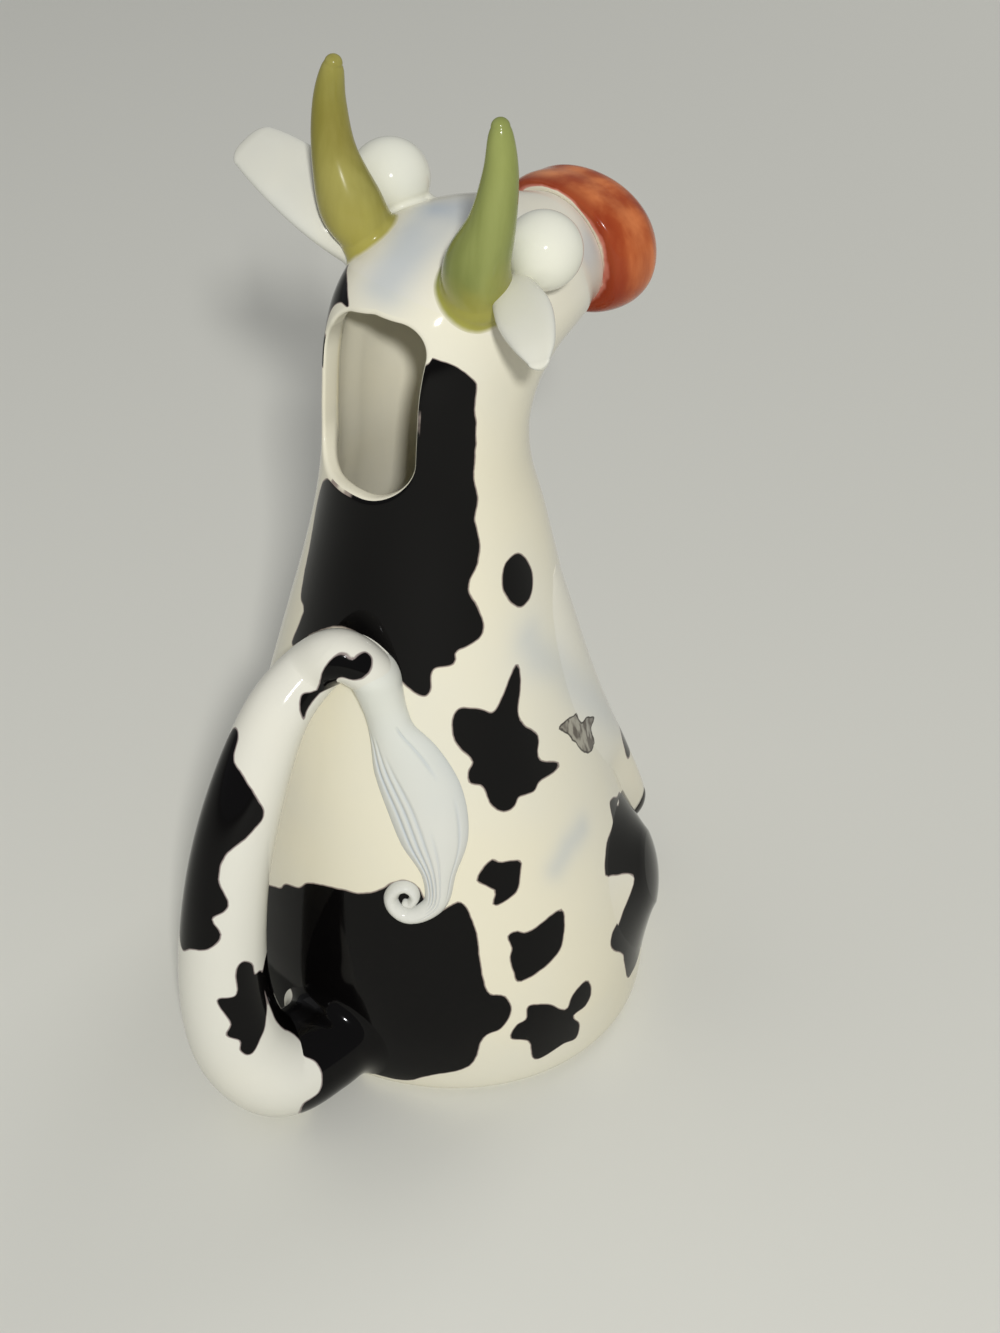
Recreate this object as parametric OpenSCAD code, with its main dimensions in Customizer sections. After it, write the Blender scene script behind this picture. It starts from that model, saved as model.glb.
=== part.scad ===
// Cow-shaped cream jug: a hollow body with a head that pours and a tail for a handle.
// Millimetres. The foot stands on z = 0, the cow looks along -Y, its left side is +X.

/* [Body] */
// Widest radius of the belly
belly_r = 46; // [38:1:56]
// Height of the crown of the head above the table
crown_h = 173; // [150:1:200]
// Thickness of the thrown wall
wall_t = 4; // [3:0.5:5.5]
// Thickness of the floor
floor_t = 6; // [4:0.5:9]

/* [Fill opening] */
// Width of the opening in the nape
opening_w = 23; // [16:0.5:26]
// How far the lower edge of the opening lies under its middle
opening_low_h = 16.75; // [10:0.25:24]
// How far the upper edge of the opening lies over its middle
opening_top_h = 16.75; // [8:0.25:18]
// Radius of the corners of the opening
opening_corner_r = 6; // [3:0.5:9]

/* [Head] */
// Thickness of the head wall
head_wall_t = 3.2; // [2.5:0.1:4.5]
// Half width of the muzzle
muzzle_w = 15.5; // [13:0.5:19]
// Half height of the muzzle
muzzle_h = 12.9; // [10:0.5:16]
// Length of the muzzle along its axis
muzzle_len = 15; // [12:0.5:19]
// Half width of the pouring mouth
mouth_w = 7.2; // [5:0.2:9]
// Half height of the pouring mouth
mouth_h = 3.3; // [2.4:0.1:4.2]
// Radius of a nostril dimple
nostril_r = 1.9; // [1.2:0.1:2.6]
// Radius of an eye ball
eye_r = 6.6; // [5.5:0.1:7.5]
// How far the middle of an eye stands over the skin
eye_lift = 6.5; // [5:0.1:7]
// Radius of the swelling that carries an eye
brow_r = 4.2; // [3.6:0.1:5]
// How far the middle of that swelling stands over the skin
brow_lift = 2; // [1:0.1:2.6]
// Height of the left horn above its root
horn_left_h = 32; // [25:0.5:40]
// Height of the right horn above its root
horn_right_h = 33.5; // [26:0.5:42]
// Radius of a horn at its root
horn_r = 6.2; // [5.2:0.1:7.4]
// Length of the left ear
ear_left_len = 33.5; // [26:0.5:40]
// Length of the right ear
ear_right_len = 25; // [20:0.5:32]
// Half width of an ear
ear_w = 6; // [4.5:0.1:7.5]
// Half thickness of an ear
ear_t = 2.6; // [2:0.1:3.5]

/* [Tail] */
// Radius of the tail at its thick lower bend
tail_r = 10.2; // [8:0.2:12.5]
// How far the middle line of the handle stands back from the body axis
tail_reach = 65; // [58:1:76]
// Height of the top of the middle line of the handle
tail_h = 102; // [90:1:112]
// Thickness of the modelled tuft over the skin
tuft_t = 2.2; // [1.2:0.1:3.2]
// Half width of the tuft at its widest
tuft_w = 8; // [6:0.2:10.5]

/* [Legs] */
// Half thickness of a thigh across the body
thigh_w = 16.5; // [13:0.5:19]
// How far the side of a thigh stands out from the skin
thigh_rise = 2.3; // [1.5:0.1:4]
// Half length of a thigh along the body
thigh_len = 20; // [16:0.5:24]
// Half height of a thigh
thigh_h = 28; // [23:0.5:32]
// Degrees by which the top of a thigh leans back
thigh_lean = 20; // [8:1:30]
// Half width of an upper foreleg
foreleg_w = 11.6; // [9:0.2:13]
// Rise of a foreleg over the skin
foreleg_rise = 4.4; // [3:0.2:6.5]
// Radius of a front hoof
front_hoof_r = 5.9; // [5:0.1:7]
// Half width of a hind hoof
hind_hoof_w = 6.6; // [5.5:0.1:8.5]
// Half length of a hind hoof
hind_hoof_len = 9.6; // [7:0.2:12]
// Half height of a hind hoof
hind_hoof_h = 6.4; // [5:0.1:8]

/* [Hidden] */
// Corners round one ring of the skin
skin_n = 48;
// Corners round one ring of a small member
limb_n = 24;
// Row of the table below where the head is luted to the neck
seam_row_share = 14.5;
// Row of the table where the muzzle starts
snout_row_share = 19;
// Where members stand on the skin: row of the table, and turn from the back in degrees
eye_place_shares = [16.5, 46.4];
horn_place_shares = [15, 42.5];
ear_left_place_shares = [14.95, 54];
ear_right_place_shares = [15.55, 56];
thigh_place_shares = [3.23, 120.4];
front_hoof_place_shares = [4.25, 147];
// Share of the height of the crown at which the middle of the fill opening lies
opening_mid_share = 0.8425;
// Small overlap that lets a cutter pass a face
cut_pass = belly_r / 100;

// Rows of the skin from the table up to the snout. Each holds the back point (reach, height),
// the front point (reach, height), the half width and the squareness of the back half.
skin_row_shares = [
    [0.987, 0.000, -0.780, 0.000, 0.950, 2.0],
    [1.030, 0.017, -0.800, 0.017, 0.982, 2.0],
    [1.052, 0.064, -0.800, 0.064, 0.986, 2.0],
    [1.057, 0.127, -0.785, 0.127, 0.965, 2.0],
    [1.026, 0.208, -0.735, 0.208, 0.905, 2.0],
    [0.978, 0.289, -0.645, 0.289, 0.824, 2.0],
    [0.924, 0.370, -0.556, 0.370, 0.743, 2.0],
    [0.854, 0.451, -0.480, 0.451, 0.657, 2.0],
    [0.778, 0.532, -0.412, 0.532, 0.578, 2.0],
    [0.704, 0.613, -0.354, 0.607, 0.500, 2.0],
    [0.643, 0.688, -0.296, 0.671, 0.439, 2.0],
    [0.607, 0.757, -0.235, 0.723, 0.400, 2.0],
    [0.587, 0.827, -0.209, 0.766, 0.387, 2.1],
    [0.561, 0.890, -0.235, 0.795, 0.383, 2.2],
    [0.485, 0.941, -0.283, 0.815, 0.383, 2.3],
    [0.322, 0.977, -0.343, 0.830, 0.380, 2.5],
    [0.109, 0.994, -0.402, 0.840, 0.374, 2.75],
    [-0.130, 0.990, -0.461, 0.845, 0.340, 2.65],
    [-0.326, 0.980, -0.504, 0.845, 0.287, 2.3],
    [-0.500, 0.969, -0.543, 0.840, 0.243, 2.0]];

function unit(v) = v / norm(v);
function power(v, p) = sign(v) * pow(abs(v), 2 / p);

// Smooth value of a table at a row number that may lie between two rows
function at(table, t) =
    let(i = max(0, min(floor(t), len(table) - 2)), s = t - i,
        b = table[i], c = table[i + 1],
        a = i > 0 ? table[i - 1] : 2 * b - c,
        d = i < len(table) - 2 ? table[i + 2] : 2 * c - b)
    b + (c - a) * s / 2 + (2 * a - 5 * b + 4 * c - d) * s * s / 2
      + (3 * b - a - 3 * c + d) * s * s * s / 2;

// Middle of the skin ring at row t
function ring_mid(t) =
    let(r = at(skin_row_shares, t))
    [0, belly_r * (r[0] + r[2]) / 2, crown_h * (r[1] + r[3]) / 2];

// Half of the line from the front point to the back point of the ring
function ring_half(t) =
    let(r = at(skin_row_shares, t))
    [0, belly_r * (r[0] - r[2]) / 2, crown_h * (r[1] - r[3]) / 2];

// Point of the skin at row t and angle v, moved inwards by inset; v = 0 is the back, 90 the left
function skin_at(t, v, inset = 0) =
    let(r = at(skin_row_shares, t), h = ring_half(t), u = unit(h), sq = cos(v) > 0 ? r[5] : 2)
    ring_mid(t) + (norm(h) - inset) * power(cos(v), sq) * u
      + (belly_r * r[4] - inset) * power(sin(v), sq) * [1, 0, 0];

// Direction away from the middle of the ring, and a point that rises over the skin along it
function away(t, v) = unit(skin_at(t, v) - ring_mid(t));
function over(t, v, rise) = skin_at(t, v) + rise * away(t, v);

function skin_ring(t, inset = 0) = [for (k = [0 : skin_n - 1]) skin_at(t, 360 * k / skin_n, inset)];

// Rings of a member that follows a path. A row holds the point, the two half sizes and
// the bow of the section; refs gives the direction of the first half size.
function limb_rings(rows, refs) =
    [for (i = [0 : len(rows) - 1])
        let(p = [for (q = rows) [q[0], q[1], q[2]]],
            along = unit(p[min(i + 1, len(rows) - 1)] - p[max(i - 1, 0)]),
            ref = len(refs) == len(rows) ? refs[i] : refs[0],
            first = unit(ref - (ref * along) * along), second = cross(first, along))
        [for (k = [0 : limb_n - 1])
            let(a = 360 * k / limb_n)
            p[i] + first * (rows[i][3] * cos(a) + rows[i][5] * sin(a) * sin(a))
              + second * rows[i][4] * sin(a)]];

function smooth_rows(rows, steps) =
    [for (j = [0 : (len(rows) - 1) * steps]) at(rows, j / steps)];

function ball_rings(mid, half, n = limb_n) =
    [for (j = [1 : n / 2 - 1])
        let(b = 360 * j / n)
        [for (k = [0 : n - 1])
            let(a = 360 * k / n)
            mid + [half[0] * sin(b) * sin(a), half[1] * sin(b) * cos(a), -half[2] * cos(b)]]];

// Skin over a list of rings: its ends are closed, or the last ring is joined to the first
module loft(rings, loop = false) {
    n = len(rings);
    m = len(rings[0]);
    body = [for (r = rings) each r];
    first = [for (k = [0 : m - 1]) 1] * rings[0] / m;
    last = [for (k = [0 : m - 1]) 1] * rings[n - 1] / m;
    points = loop ? body : concat(body, [first, last]);
    walls = [for (i = [0 : loop ? n - 1 : n - 2], k = [0 : m - 1])
        let(a = i * m + k, b = i * m + (k + 1) % m, c = (i + 1) % n * m + (k + 1) % m,
            d = (i + 1) % n * m + k)
        each [[a, b, c], [a, c, d]]];
    ends = loop ? [] : [for (k = [0 : m - 1]) each
        [[n * m, (k + 1) % m, k],
         [n * m + 1, (n - 1) * m + k, (n - 1) * m + (k + 1) % m]]];
    polyhedron(points = points, faces = concat(walls, ends));
}

// Solid bounded by the outer skin, used to fit what is luted on it
module skin_solid(low_row, top_row) {
    loft([for (t = [low_row : 0.5 : top_row]) skin_ring(t)]);
}

module brow(side) {
    loft(ball_rings(over(eye_place_shares[0], side * eye_place_shares[1], brow_lift), [1, 1, 1] * brow_r));
}

// Outside of the head with its two brows, used to fit the horns, ears and eyes
module head_form() {
    skin_solid(seam_row_share - 1, snout_row_share);
    brow(1);
    brow(-1);
}

// Cutter of the fill opening with rounded corners
module opening_cut() {
    mid = crown_h * opening_mid_share;
    low = mid - opening_low_h + opening_corner_r;
    top = mid + opening_top_h - opening_corner_r;
    side = opening_w / 2 - opening_corner_r;
    hull()
        for (x = [-side, side], z = [low, top])
            translate([x, belly_r / 4, z])
                rotate([-90, 0, 0])
                    cylinder(r = opening_corner_r, h = belly_r / 2, $fn = 24);
}

module body_shell() {
    outer = [for (t = [0 : 0.5 : seam_row_share]) skin_ring(t)];
    inner = [for (t = [seam_row_share : -0.5 : seam_row_share - 2]) skin_ring(t, wall_t)];
    inner_low = [for (t = [seam_row_share - 2.5 : -1 : 2]) skin_ring(t, wall_t)];
    basin = [for (p = skin_ring(1, wall_t * 2)) [p[0], p[1], floor_t]];
    color([0.9, 0.88, 0.8])
        resize([0, 0, 0])
            difference() {
                loft(concat(outer, inner, inner_low, [basin]));
                opening_cut();
            }
}

module head_shell() {
    color([0.9, 0.88, 0.8])
        resize([0, 0, 0])
            difference() {
                intersection() {
                    head_form();
                    skin_side();
                }
                head_hollow();
            }
}

// Inside of the head, from below the seam to past the snout
module head_hollow() {
    inner = [for (t = [seam_row_share - 1 : 0.5 : snout_row_share - 0.5]) skin_ring(t, head_wall_t)];
    past = [for (p = skin_ring(snout_row_share, head_wall_t)) p - [0, cut_pass, 0]];
    loft(concat(inner, [past]));
}

// Keeps what lies above the plane of the seam
module skin_side() {
    h = ring_half(seam_row_share);
    tilt = atan2(h[2], h[1]);
    translate(ring_mid(seam_row_share))
        rotate([tilt, 0, 0])
            translate([-belly_r, -belly_r, 0])
                cube([belly_r * 2, belly_r * 2, belly_r * 2]);
}

// One ring of the muzzle: depth in front of the snout, half sizes, drop and squareness
function muzzle_ring(depth, w, h, drop, sq) =
    let(u = unit(ring_half(snout_row_share)), front = [0, -u[2], u[1]])
    [for (k = [0 : skin_n - 1])
        let(v = 360 * k / skin_n)
        ring_mid(snout_row_share) + depth * front + (h * power(cos(v), sq) - drop) * u
          + w * power(sin(v), sq) * [1, 0, 0]];

// Depth, half width, half height and drop of the outer rings of the muzzle
muzzle_shares = [
    [0.05, 0.84, 0.92, 0.03],
    [0.14, 0.925, 0.965, 0.08],
    [0.30, 0.985, 0.99, 0.12],
    [0.47, 1.00, 1.00, 0.14],
    [0.64, 0.965, 0.96, 0.14],
    [0.80, 0.86, 0.85, 0.14],
    [0.92, 0.72, 0.70, 0.15],
    [1.00, 0.55, 0.50, 0.17]];

module muzzle() {
    outer = [for (m = muzzle_shares)
        muzzle_ring(m[0] * muzzle_len, m[1] * muzzle_w, m[2] * muzzle_h, m[3] * muzzle_h, 2.1)];
    mouth_drop = muzzle_h * 0.35;
    lip = [muzzle_ring(muzzle_len * 0.99, mouth_w, mouth_h, mouth_drop, 2),
        muzzle_ring(muzzle_len * 0.6, mouth_w, mouth_h, mouth_drop, 2),
        muzzle_ring(muzzle_len * 0.25, mouth_w, mouth_h * 1.8, mouth_drop * 0.5, 2)];
    color([0.66, 0.28, 0.14])
        resize([0, 0, 0])
            difference() {
                loft(concat([skin_ring(snout_row_share)], outer, lip,
                    [skin_ring(snout_row_share, head_wall_t)]), loop = true);
                for (side = [-1, 1])
                    loft(ball_rings(muzzle_ring(muzzle_len * 0.96, muzzle_w * 0.42, 0,
                        -muzzle_h * 0.22, 2)[side > 0 ? skin_n / 4 : skin_n * 3 / 4],
                        [1, 1, 0.8] * nostril_r));
            }
}

// A horn from its root on the crown: places along it are shares of its height
horn_shares = [
    [-0.03, 0.00, -0.06, 1.00],
    [0.03, 0.02, 0.06, 0.99],
    [0.09, 0.045, 0.24, 0.88],
    [0.18, 0.05, 0.50, 0.62],
    [0.215, 0.04, 0.75, 0.46],
    [0.20, 0.028, 0.93, 0.32],
    [0.185, 0.020, 1.00, 0.15]];

module horn_form(side) {
    height = side > 0 ? horn_left_h : horn_right_h;
    root = over(horn_place_shares[0], side * horn_place_shares[1], -horn_r / 6);
    rows = [for (r = horn_shares)
        [root[0] + side * r[0] * height, root[1] + r[1] * height, root[2] + r[2] * height,
         r[3] * horn_r, r[3] * horn_r, 0]];
    loft(limb_rings(smooth_rows(rows, 2), [[0, 1, 0]]));
}

module horn(side) {
    color([0.58, 0.58, 0.3])
        resize([0, 0, 0])
            difference() {
                horn_form(side);
                head_form();
                eye_form(side);
            }
}

// Ears: places are shares of the ear length, then shares of its half width and thickness
ear_left_shares = [
    [0.00, -0.02, -0.05, 0.60, 1.2],
    [0.19, 0.06, 0.15, 1.00, 1.1],
    [0.46, 0.07, 0.26, 1.08, 0.9],
    [0.74, 0.06, 0.33, 0.74, 0.7],
    [0.91, 0.055, 0.36, 0.20, 0.3]];
ear_right_shares = [
    [0.02, -0.04, -0.02, 0.60, 1.2],
    [0.17, 0.12, 0.075, 0.87, 1.1],
    [0.41, 0.27, 0.055, 0.92, 0.9],
    [0.63, 0.41, 0.00, 0.64, 0.7],
    [0.77, 0.51, -0.065, 0.17, 0.3]];

module ear(side, length, shares) {
    place = side > 0 ? ear_left_place_shares : ear_right_place_shares;
    root = over(place[0], side * place[1], -ear_t / 2);
    rows = [for (r = shares)
        [root[0] + side * r[0] * length, root[1] + r[1] * length, root[2] + r[2] * length,
         r[4] * ear_t, r[3] * ear_w, ear_t * 0.3]];
    color([0.88, 0.88, 0.84])
        resize([0, 0, 0])
            difference() {
                loft(limb_rings(smooth_rows(rows, 3), [[0, 0.5, 1]]));
                head_form();
                horn_form(side);
                eye_form(side);
            }
}

module eye_form(side) {
    loft(ball_rings(over(eye_place_shares[0], side * eye_place_shares[1], eye_lift), [1, 1, 1] * eye_r));
}

module eye(side) {
    color([0.96, 0.96, 0.94])
        resize([0, 0, 0])
            difference() {
                eye_form(side);
                head_form();
            }
}

// Middle line of the tail: sideways shares of its radius, shares of its reach, shares of its
// rise above the table, and shares of its radius
tail_shares = [
    [-1.08, 0.615, 0.011, 0.92],
    [-1.03, 0.785, 0.005, 0.98],
    [-0.83, 0.923, 0.009, 1.00],
    [-0.39, 0.998, 0.107, 0.95],
    [-0.10, 1.003, 0.281, 0.85],
    [0.00, 0.951, 0.510, 0.765],
    [0.00, 0.862, 0.706, 0.69],
    [0.00, 0.735, 0.869, 0.59],
    [-0.118, 0.615, 0.945, 0.525],
    [-0.608, 0.572, 1.000, 0.48],
    [-1.02, 0.523, 0.968, 0.43],
    [-1.09, 0.488, 0.913, 0.37],
    [-1.235, 0.480, 0.852, 0.30]];

module tail_form() {
    rise = tail_h - tail_r * 1.03;
    rows = [for (r = tail_shares)
        [r[0] * tail_r, r[1] * tail_reach, tail_r * 1.03 + r[2] * rise, r[3] * tail_r,
         r[3] * tail_r, 0]];
    loft(limb_rings(smooth_rows(rows, 4), [[1, 0, 0]]));
}

module tail_handle() {
    color([0.92, 0.92, 0.9])
        resize([0, 0, 0])
            difference() {
                tail_form();
                skin_solid(0, seam_row_share - 2);
            }
}

// Rings of a member that lies on the skin. A row holds the row and the turn on the skin,
// and the shares of its half width and of its rise.
function relief_rings(rows, w, rise) =
    limb_rings([for (r = rows) let(p = skin_at(r[0], r[1])) [p[0], p[1], p[2], r[3] * rise, r[2] * w, 0]],
        [for (r = rows) away(r[0], r[1])]);

tuft_shares = [
    [8.20, 333.5, 0.34, 0.9],
    [7.98, 331.3, 0.46, 1.15],
    [7.66, 327.5, 0.60, 1.1],
    [7.20, 320.5, 0.88, 1.0],
    [6.65, 315.5, 0.98, 1.0],
    [6.05, 313, 0.80, 1.0],
    [5.55, 312.3, 0.50, 0.95],
    [5.15, 314, 0.30, 0.9],
    [4.92, 318.5, 0.24, 0.85],
    [4.88, 323.5, 0.22, 0.85],
    [5.03, 327, 0.20, 0.8],
    [5.24, 326, 0.17, 0.8],
    [5.3, 322.5, 0.14, 0.75]];

module tail_tuft() {
    color([0.86, 0.88, 0.88])
        resize([0, 0, 0])
            difference() {
                loft(relief_rings(smooth_rows(tuft_shares, 3), tuft_w, tuft_t));
                skin_solid(0, seam_row_share - 2);
                tail_form();
            }
}

foreleg_shares = [
    [9.0, 122.5, 0.16, 0.04],
    [8.6, 124.5, 0.58, 0.14],
    [7.8, 128, 0.88, 0.28],
    [6.9, 132.5, 1.00, 0.42],
    [6.0, 138.5, 0.86, 0.62],
    [5.2, 143.5, 0.62, 0.85],
    [4.45, 147, 0.50, 1.0]];

module foreleg(side) {
    rows = [for (r = foreleg_shares) [r[0], side * r[1], r[2], r[3]]];
    color([0.9, 0.88, 0.8])
        resize([0, 0, 0])
            difference() {
                loft(relief_rings(smooth_rows(rows, 2), foreleg_w, foreleg_rise));
                skin_solid(0, seam_row_share - 2);
                front_hoof_form(side);
                thigh_form(side);
            }
}

// Turns a point about the crosswise line through mid, the top moving back
function lean_back(p, mid, angle) =
    let(q = p - mid)
    mid + [q[0], q[1] * cos(angle) + q[2] * sin(angle), q[2] * cos(angle) - q[1] * sin(angle)];

// A leaning ball, flattened where it reaches the table
module seated_ball(mid, half, angle, n = limb_n) {
    loft([for (ring = ball_rings(mid, half, n))
        [for (p = ring) let(q = lean_back(p, mid, angle)) [q[0], q[1], max(0, q[2])]]]);
}

module thigh_form(side) {
    p = over(thigh_place_shares[0], side * thigh_place_shares[1], thigh_rise - thigh_w);
    seated_ball([p[0], p[1], thigh_h * 0.9], [thigh_w, thigh_len, thigh_h], thigh_lean, skin_n);
}

module front_hoof_form(side) {
    loft(ball_rings(over(front_hoof_place_shares[0], side * front_hoof_place_shares[1],
        -0.2 * front_hoof_r), [1, 1.05, 1] * front_hoof_r));
}

module hind_hoof_form(side) {
    seated_ball([side * belly_r * 0.228, -belly_r * 0.804, hind_hoof_h * 0.9],
        [hind_hoof_w, hind_hoof_len, hind_hoof_h], 0);
}

module thigh(side) {
    color([0.9, 0.88, 0.8])
        resize([0, 0, 0])
            difference() {
                thigh_form(side);
                skin_solid(0, seam_row_share - 2);
                hind_hoof_form(side);
            }
}

module front_hoof(side) {
    color([0.25, 0.24, 0.24])
        resize([0, 0, 0])
            difference() {
                front_hoof_form(side);
                skin_solid(0, seam_row_share - 2);
                thigh_form(side);
            }
}

module hind_hoof(side) {
    color([0.25, 0.24, 0.24])
        resize([0, 0, 0])
            difference() {
                hind_hoof_form(side);
                skin_solid(0, seam_row_share - 2);
            }
}

body_shell();
head_shell();
muzzle();
horn(1);  // horn_left
horn(-1);  // horn_right
ear(1, ear_left_len, ear_left_shares);  // ear_left
ear(-1, ear_right_len, ear_right_shares);  // ear_right
eye(1);  // eye_left
eye(-1);  // eye_right
tail_handle();
tail_tuft();
foreleg(1);  // foreleg_left
foreleg(-1);  // foreleg_right
front_hoof(1);  // front_hoof_left
front_hoof(-1);  // front_hoof_right
thigh(1);  // thigh_left
thigh(-1);  // thigh_right
hind_hoof(1);  // hind_hoof_left
hind_hoof(-1);  // hind_hoof_right
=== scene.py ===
import bpy
import numpy as np
from mathutils import Matrix


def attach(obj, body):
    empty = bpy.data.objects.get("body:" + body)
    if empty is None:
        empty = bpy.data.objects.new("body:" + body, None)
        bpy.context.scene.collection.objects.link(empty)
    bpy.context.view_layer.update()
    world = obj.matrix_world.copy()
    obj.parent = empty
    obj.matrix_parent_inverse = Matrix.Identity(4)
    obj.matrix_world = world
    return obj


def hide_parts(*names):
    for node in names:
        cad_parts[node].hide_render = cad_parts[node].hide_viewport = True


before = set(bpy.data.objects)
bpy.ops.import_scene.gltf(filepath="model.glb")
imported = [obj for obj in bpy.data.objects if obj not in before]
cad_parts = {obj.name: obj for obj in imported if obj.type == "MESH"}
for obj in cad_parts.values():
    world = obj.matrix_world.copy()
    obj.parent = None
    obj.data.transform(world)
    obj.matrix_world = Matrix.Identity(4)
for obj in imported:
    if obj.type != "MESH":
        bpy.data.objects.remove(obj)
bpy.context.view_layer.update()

# ---- where the jug stands
# A plain pale table under plain soft light, seen from above and behind the jug,
# from its right side, as in the photograph.

camera_turn, camera_dip, camera_roll = np.radians([43.5, 40.0, 0.7])
camera_out, camera_high = 0.3175, 0.340
image_w, focal_px, centre_px, sensor_mm = 1000, 2100, 458.1, 36.0


def unit(ways, tiny=0.0):
    """Each way at length 1: way / (its length + tiny)."""
    return ways / (np.linalg.norm(ways, axis=-1, keepdims=True) + tiny)


def stand(name, data, place, right, top, back):
    """Stands a camera or a lamp at a place, so that it looks against back."""
    thing = bpy.data.objects.new(name, data)
    bpy.context.scene.collection.objects.link(thing)
    thing.matrix_world = Matrix([[right[i], top[i], back[i], place[i]] for i in range(3)]
                                + [[0, 0, 0, 1]])
    return thing


level = np.array([np.sin(camera_turn), -np.cos(camera_turn), 0.0])
sideways = np.cross(level, [0.0, 0.0, 1.0])
ahead = level * np.cos(camera_dip) - np.array([0.0, 0.0, np.sin(camera_dip)])
upright = np.cross(sideways, ahead)
camera = stand("camera", bpy.data.cameras.new("camera"),
               np.array([0.0, 0.0, camera_high]) - level * camera_out,
               np.cos(camera_roll) * sideways + np.sin(camera_roll) * upright,
               np.cos(camera_roll) * upright - np.sin(camera_roll) * sideways, -ahead)
camera.data.sensor_fit = "HORIZONTAL"
camera.data.sensor_width = sensor_mm
camera.data.lens = sensor_mm * focal_px / image_w
camera.data.shift_x = 0.5 - centre_px / image_w
camera.data.clip_start = 0.01
bpy.context.scene.camera = camera
bpy.context.scene.view_settings.view_transform = "Standard"

# soft boxes: name, place, size, power, and whether the gloss mirrors it
lamp_aim = np.array([0.0, 0.0, 0.1])
for name, place, size, power, mirrored in (
        ("lamp_behind_camera", (-0.62, 0.53, 0.75), 0.07, 7.8, True),
        ("lamp_far_side", (0.70, 0.40, 0.75), 0.9, 1.1, True),
        ("lamp_front", (0.10, -0.95, 0.70), 0.5, 2.5, False)):
    lamp = bpy.data.lights.new(name, "AREA")
    lamp.shape, lamp.size, lamp.energy = "SQUARE", size, power
    back = unit(np.array(place) - lamp_aim)
    right = unit(np.cross([0.0, 0.0, 1.0], back))
    stand(name, lamp, place, right, np.cross(back, right), back).visible_glossy = mirrored

world = bpy.data.worlds.new("studio")
world.use_nodes = True
sky = world.node_tree.nodes["Background"].inputs
sky["Color"].default_value, sky["Strength"].default_value = (0.93, 0.95, 1.0, 1.0), 0.28
bpy.context.scene.world = world


def paint(red, green, blue):
    """A colour as the eye reads it, 0 to 255, as the light that the shader takes."""
    c = np.array([red, green, blue]) / 255.0
    c = np.where(c > 0.04045, ((c + 0.055) / 1.055) ** 2.4, c / 12.92)
    return (*c, 1.0)


class Wire:
    """A socket in a material. + - * on it add Math nodes, and node() adds any other node."""

    def __init__(self, tree, socket=None):
        self.tree, self.socket = tree, socket

    def node(self, kind, settings, values, out=0):
        """Adds a node with its settings and its sockets' values or wires, and gives its out."""
        made = self.tree.nodes.new(kind)
        for key, value in settings.items():
            setattr(made, key, value)
        for key, value in values.items():
            if isinstance(value, Wire):
                self.tree.links.new(value.socket, made.inputs[key])
            else:
                made.inputs[key].default_value = value
        return Wire(self.tree, made.outputs[out])

    def math(self, operation, first, second):
        """first, an operation, second."""
        return self.node("ShaderNodeMath", {"operation": operation}, {0: first, 1: second})

    def __add__(self, other):
        return self.math("ADD", self, other)

    def __sub__(self, other):
        return self.math("SUBTRACT", self, other)

    def __rsub__(self, other):
        return self.math("SUBTRACT", other, self)

    def __mul__(self, other):
        return self.math("MULTIPLY", self, other)

    __radd__, __rmul__ = __add__, __mul__

    def rise(self, low, high):
        """0 below low, 1 above high, smooth between."""
        return self.node("ShaderNodeMapRange", {"interpolation_type": "SMOOTHSTEP"},
                         {"Value": self, "From Min": low, "From Max": high})

    def mark(self, name):
        """A value that a piece's mesh carries at each point."""
        return self.node("ShaderNodeAttribute", {"attribute_name": name}, {}, "Fac")

    def clouds(self, scale, detail=3.0, stretch=(1.0, 1.0, 1.0)):
        """Soft noise from 0 to 1 in the object's own space."""
        place = self.node("ShaderNodeTexCoord", {}, {}, "Object")
        place = self.node("ShaderNodeMapping", {}, {"Vector": place, "Scale": stretch})
        return self.node("ShaderNodeTexNoise", {},
                         {"Vector": place, "Scale": scale, "Detail": detail}, "Fac")

    def ragged(self, name, scale, spread, detail=2.0):
        """A mark whose edge is made ragged by soft noise."""
        return self.mark(name) + (self.clouds(scale, detail) - 0.5) * spread

    def blend(self, below, above):
        """Colour below where this is 0, above where it is 1. Each is a socket or a paint."""
        below, above = (c if isinstance(c, Wire) else paint(*c) for c in (below, above))
        return self.node("ShaderNodeMix", {"data_type": "RGBA"},
                         {0: self, 6: below, 7: above}, 2)

    def coat(self, mask, above):
        """This colour with another laid over it where the mask is 1."""
        return mask.blend(self, above)


def open_glaze(name, roughness, coat):
    """A new glossy glaze, and its tree to build in."""
    glaze = bpy.data.materials.new(name)
    glaze.use_nodes = True
    gloss = glaze.node_tree.nodes["Principled BSDF"].inputs
    for socket, value in (("Roughness", roughness), ("Coat Weight", coat),
                          ("Coat Roughness", 0.04), ("Specular IOR Level", 0.12)):
        gloss[socket].default_value = value
    return glaze, Wire(glaze.node_tree)


def close_glaze(colour, height, distance):
    """Joins a glaze's colour and its surface waves to the shader."""
    shader = colour.tree.nodes["Principled BSDF"].inputs
    bump = colour.node("ShaderNodeBump", {}, {"Height": height, "Strength": 0.35,
                                              "Distance": distance})
    colour.tree.links.new(colour.socket, shader["Base Color"])
    colour.tree.links.new(bump.socket, shader["Normal"])


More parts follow.
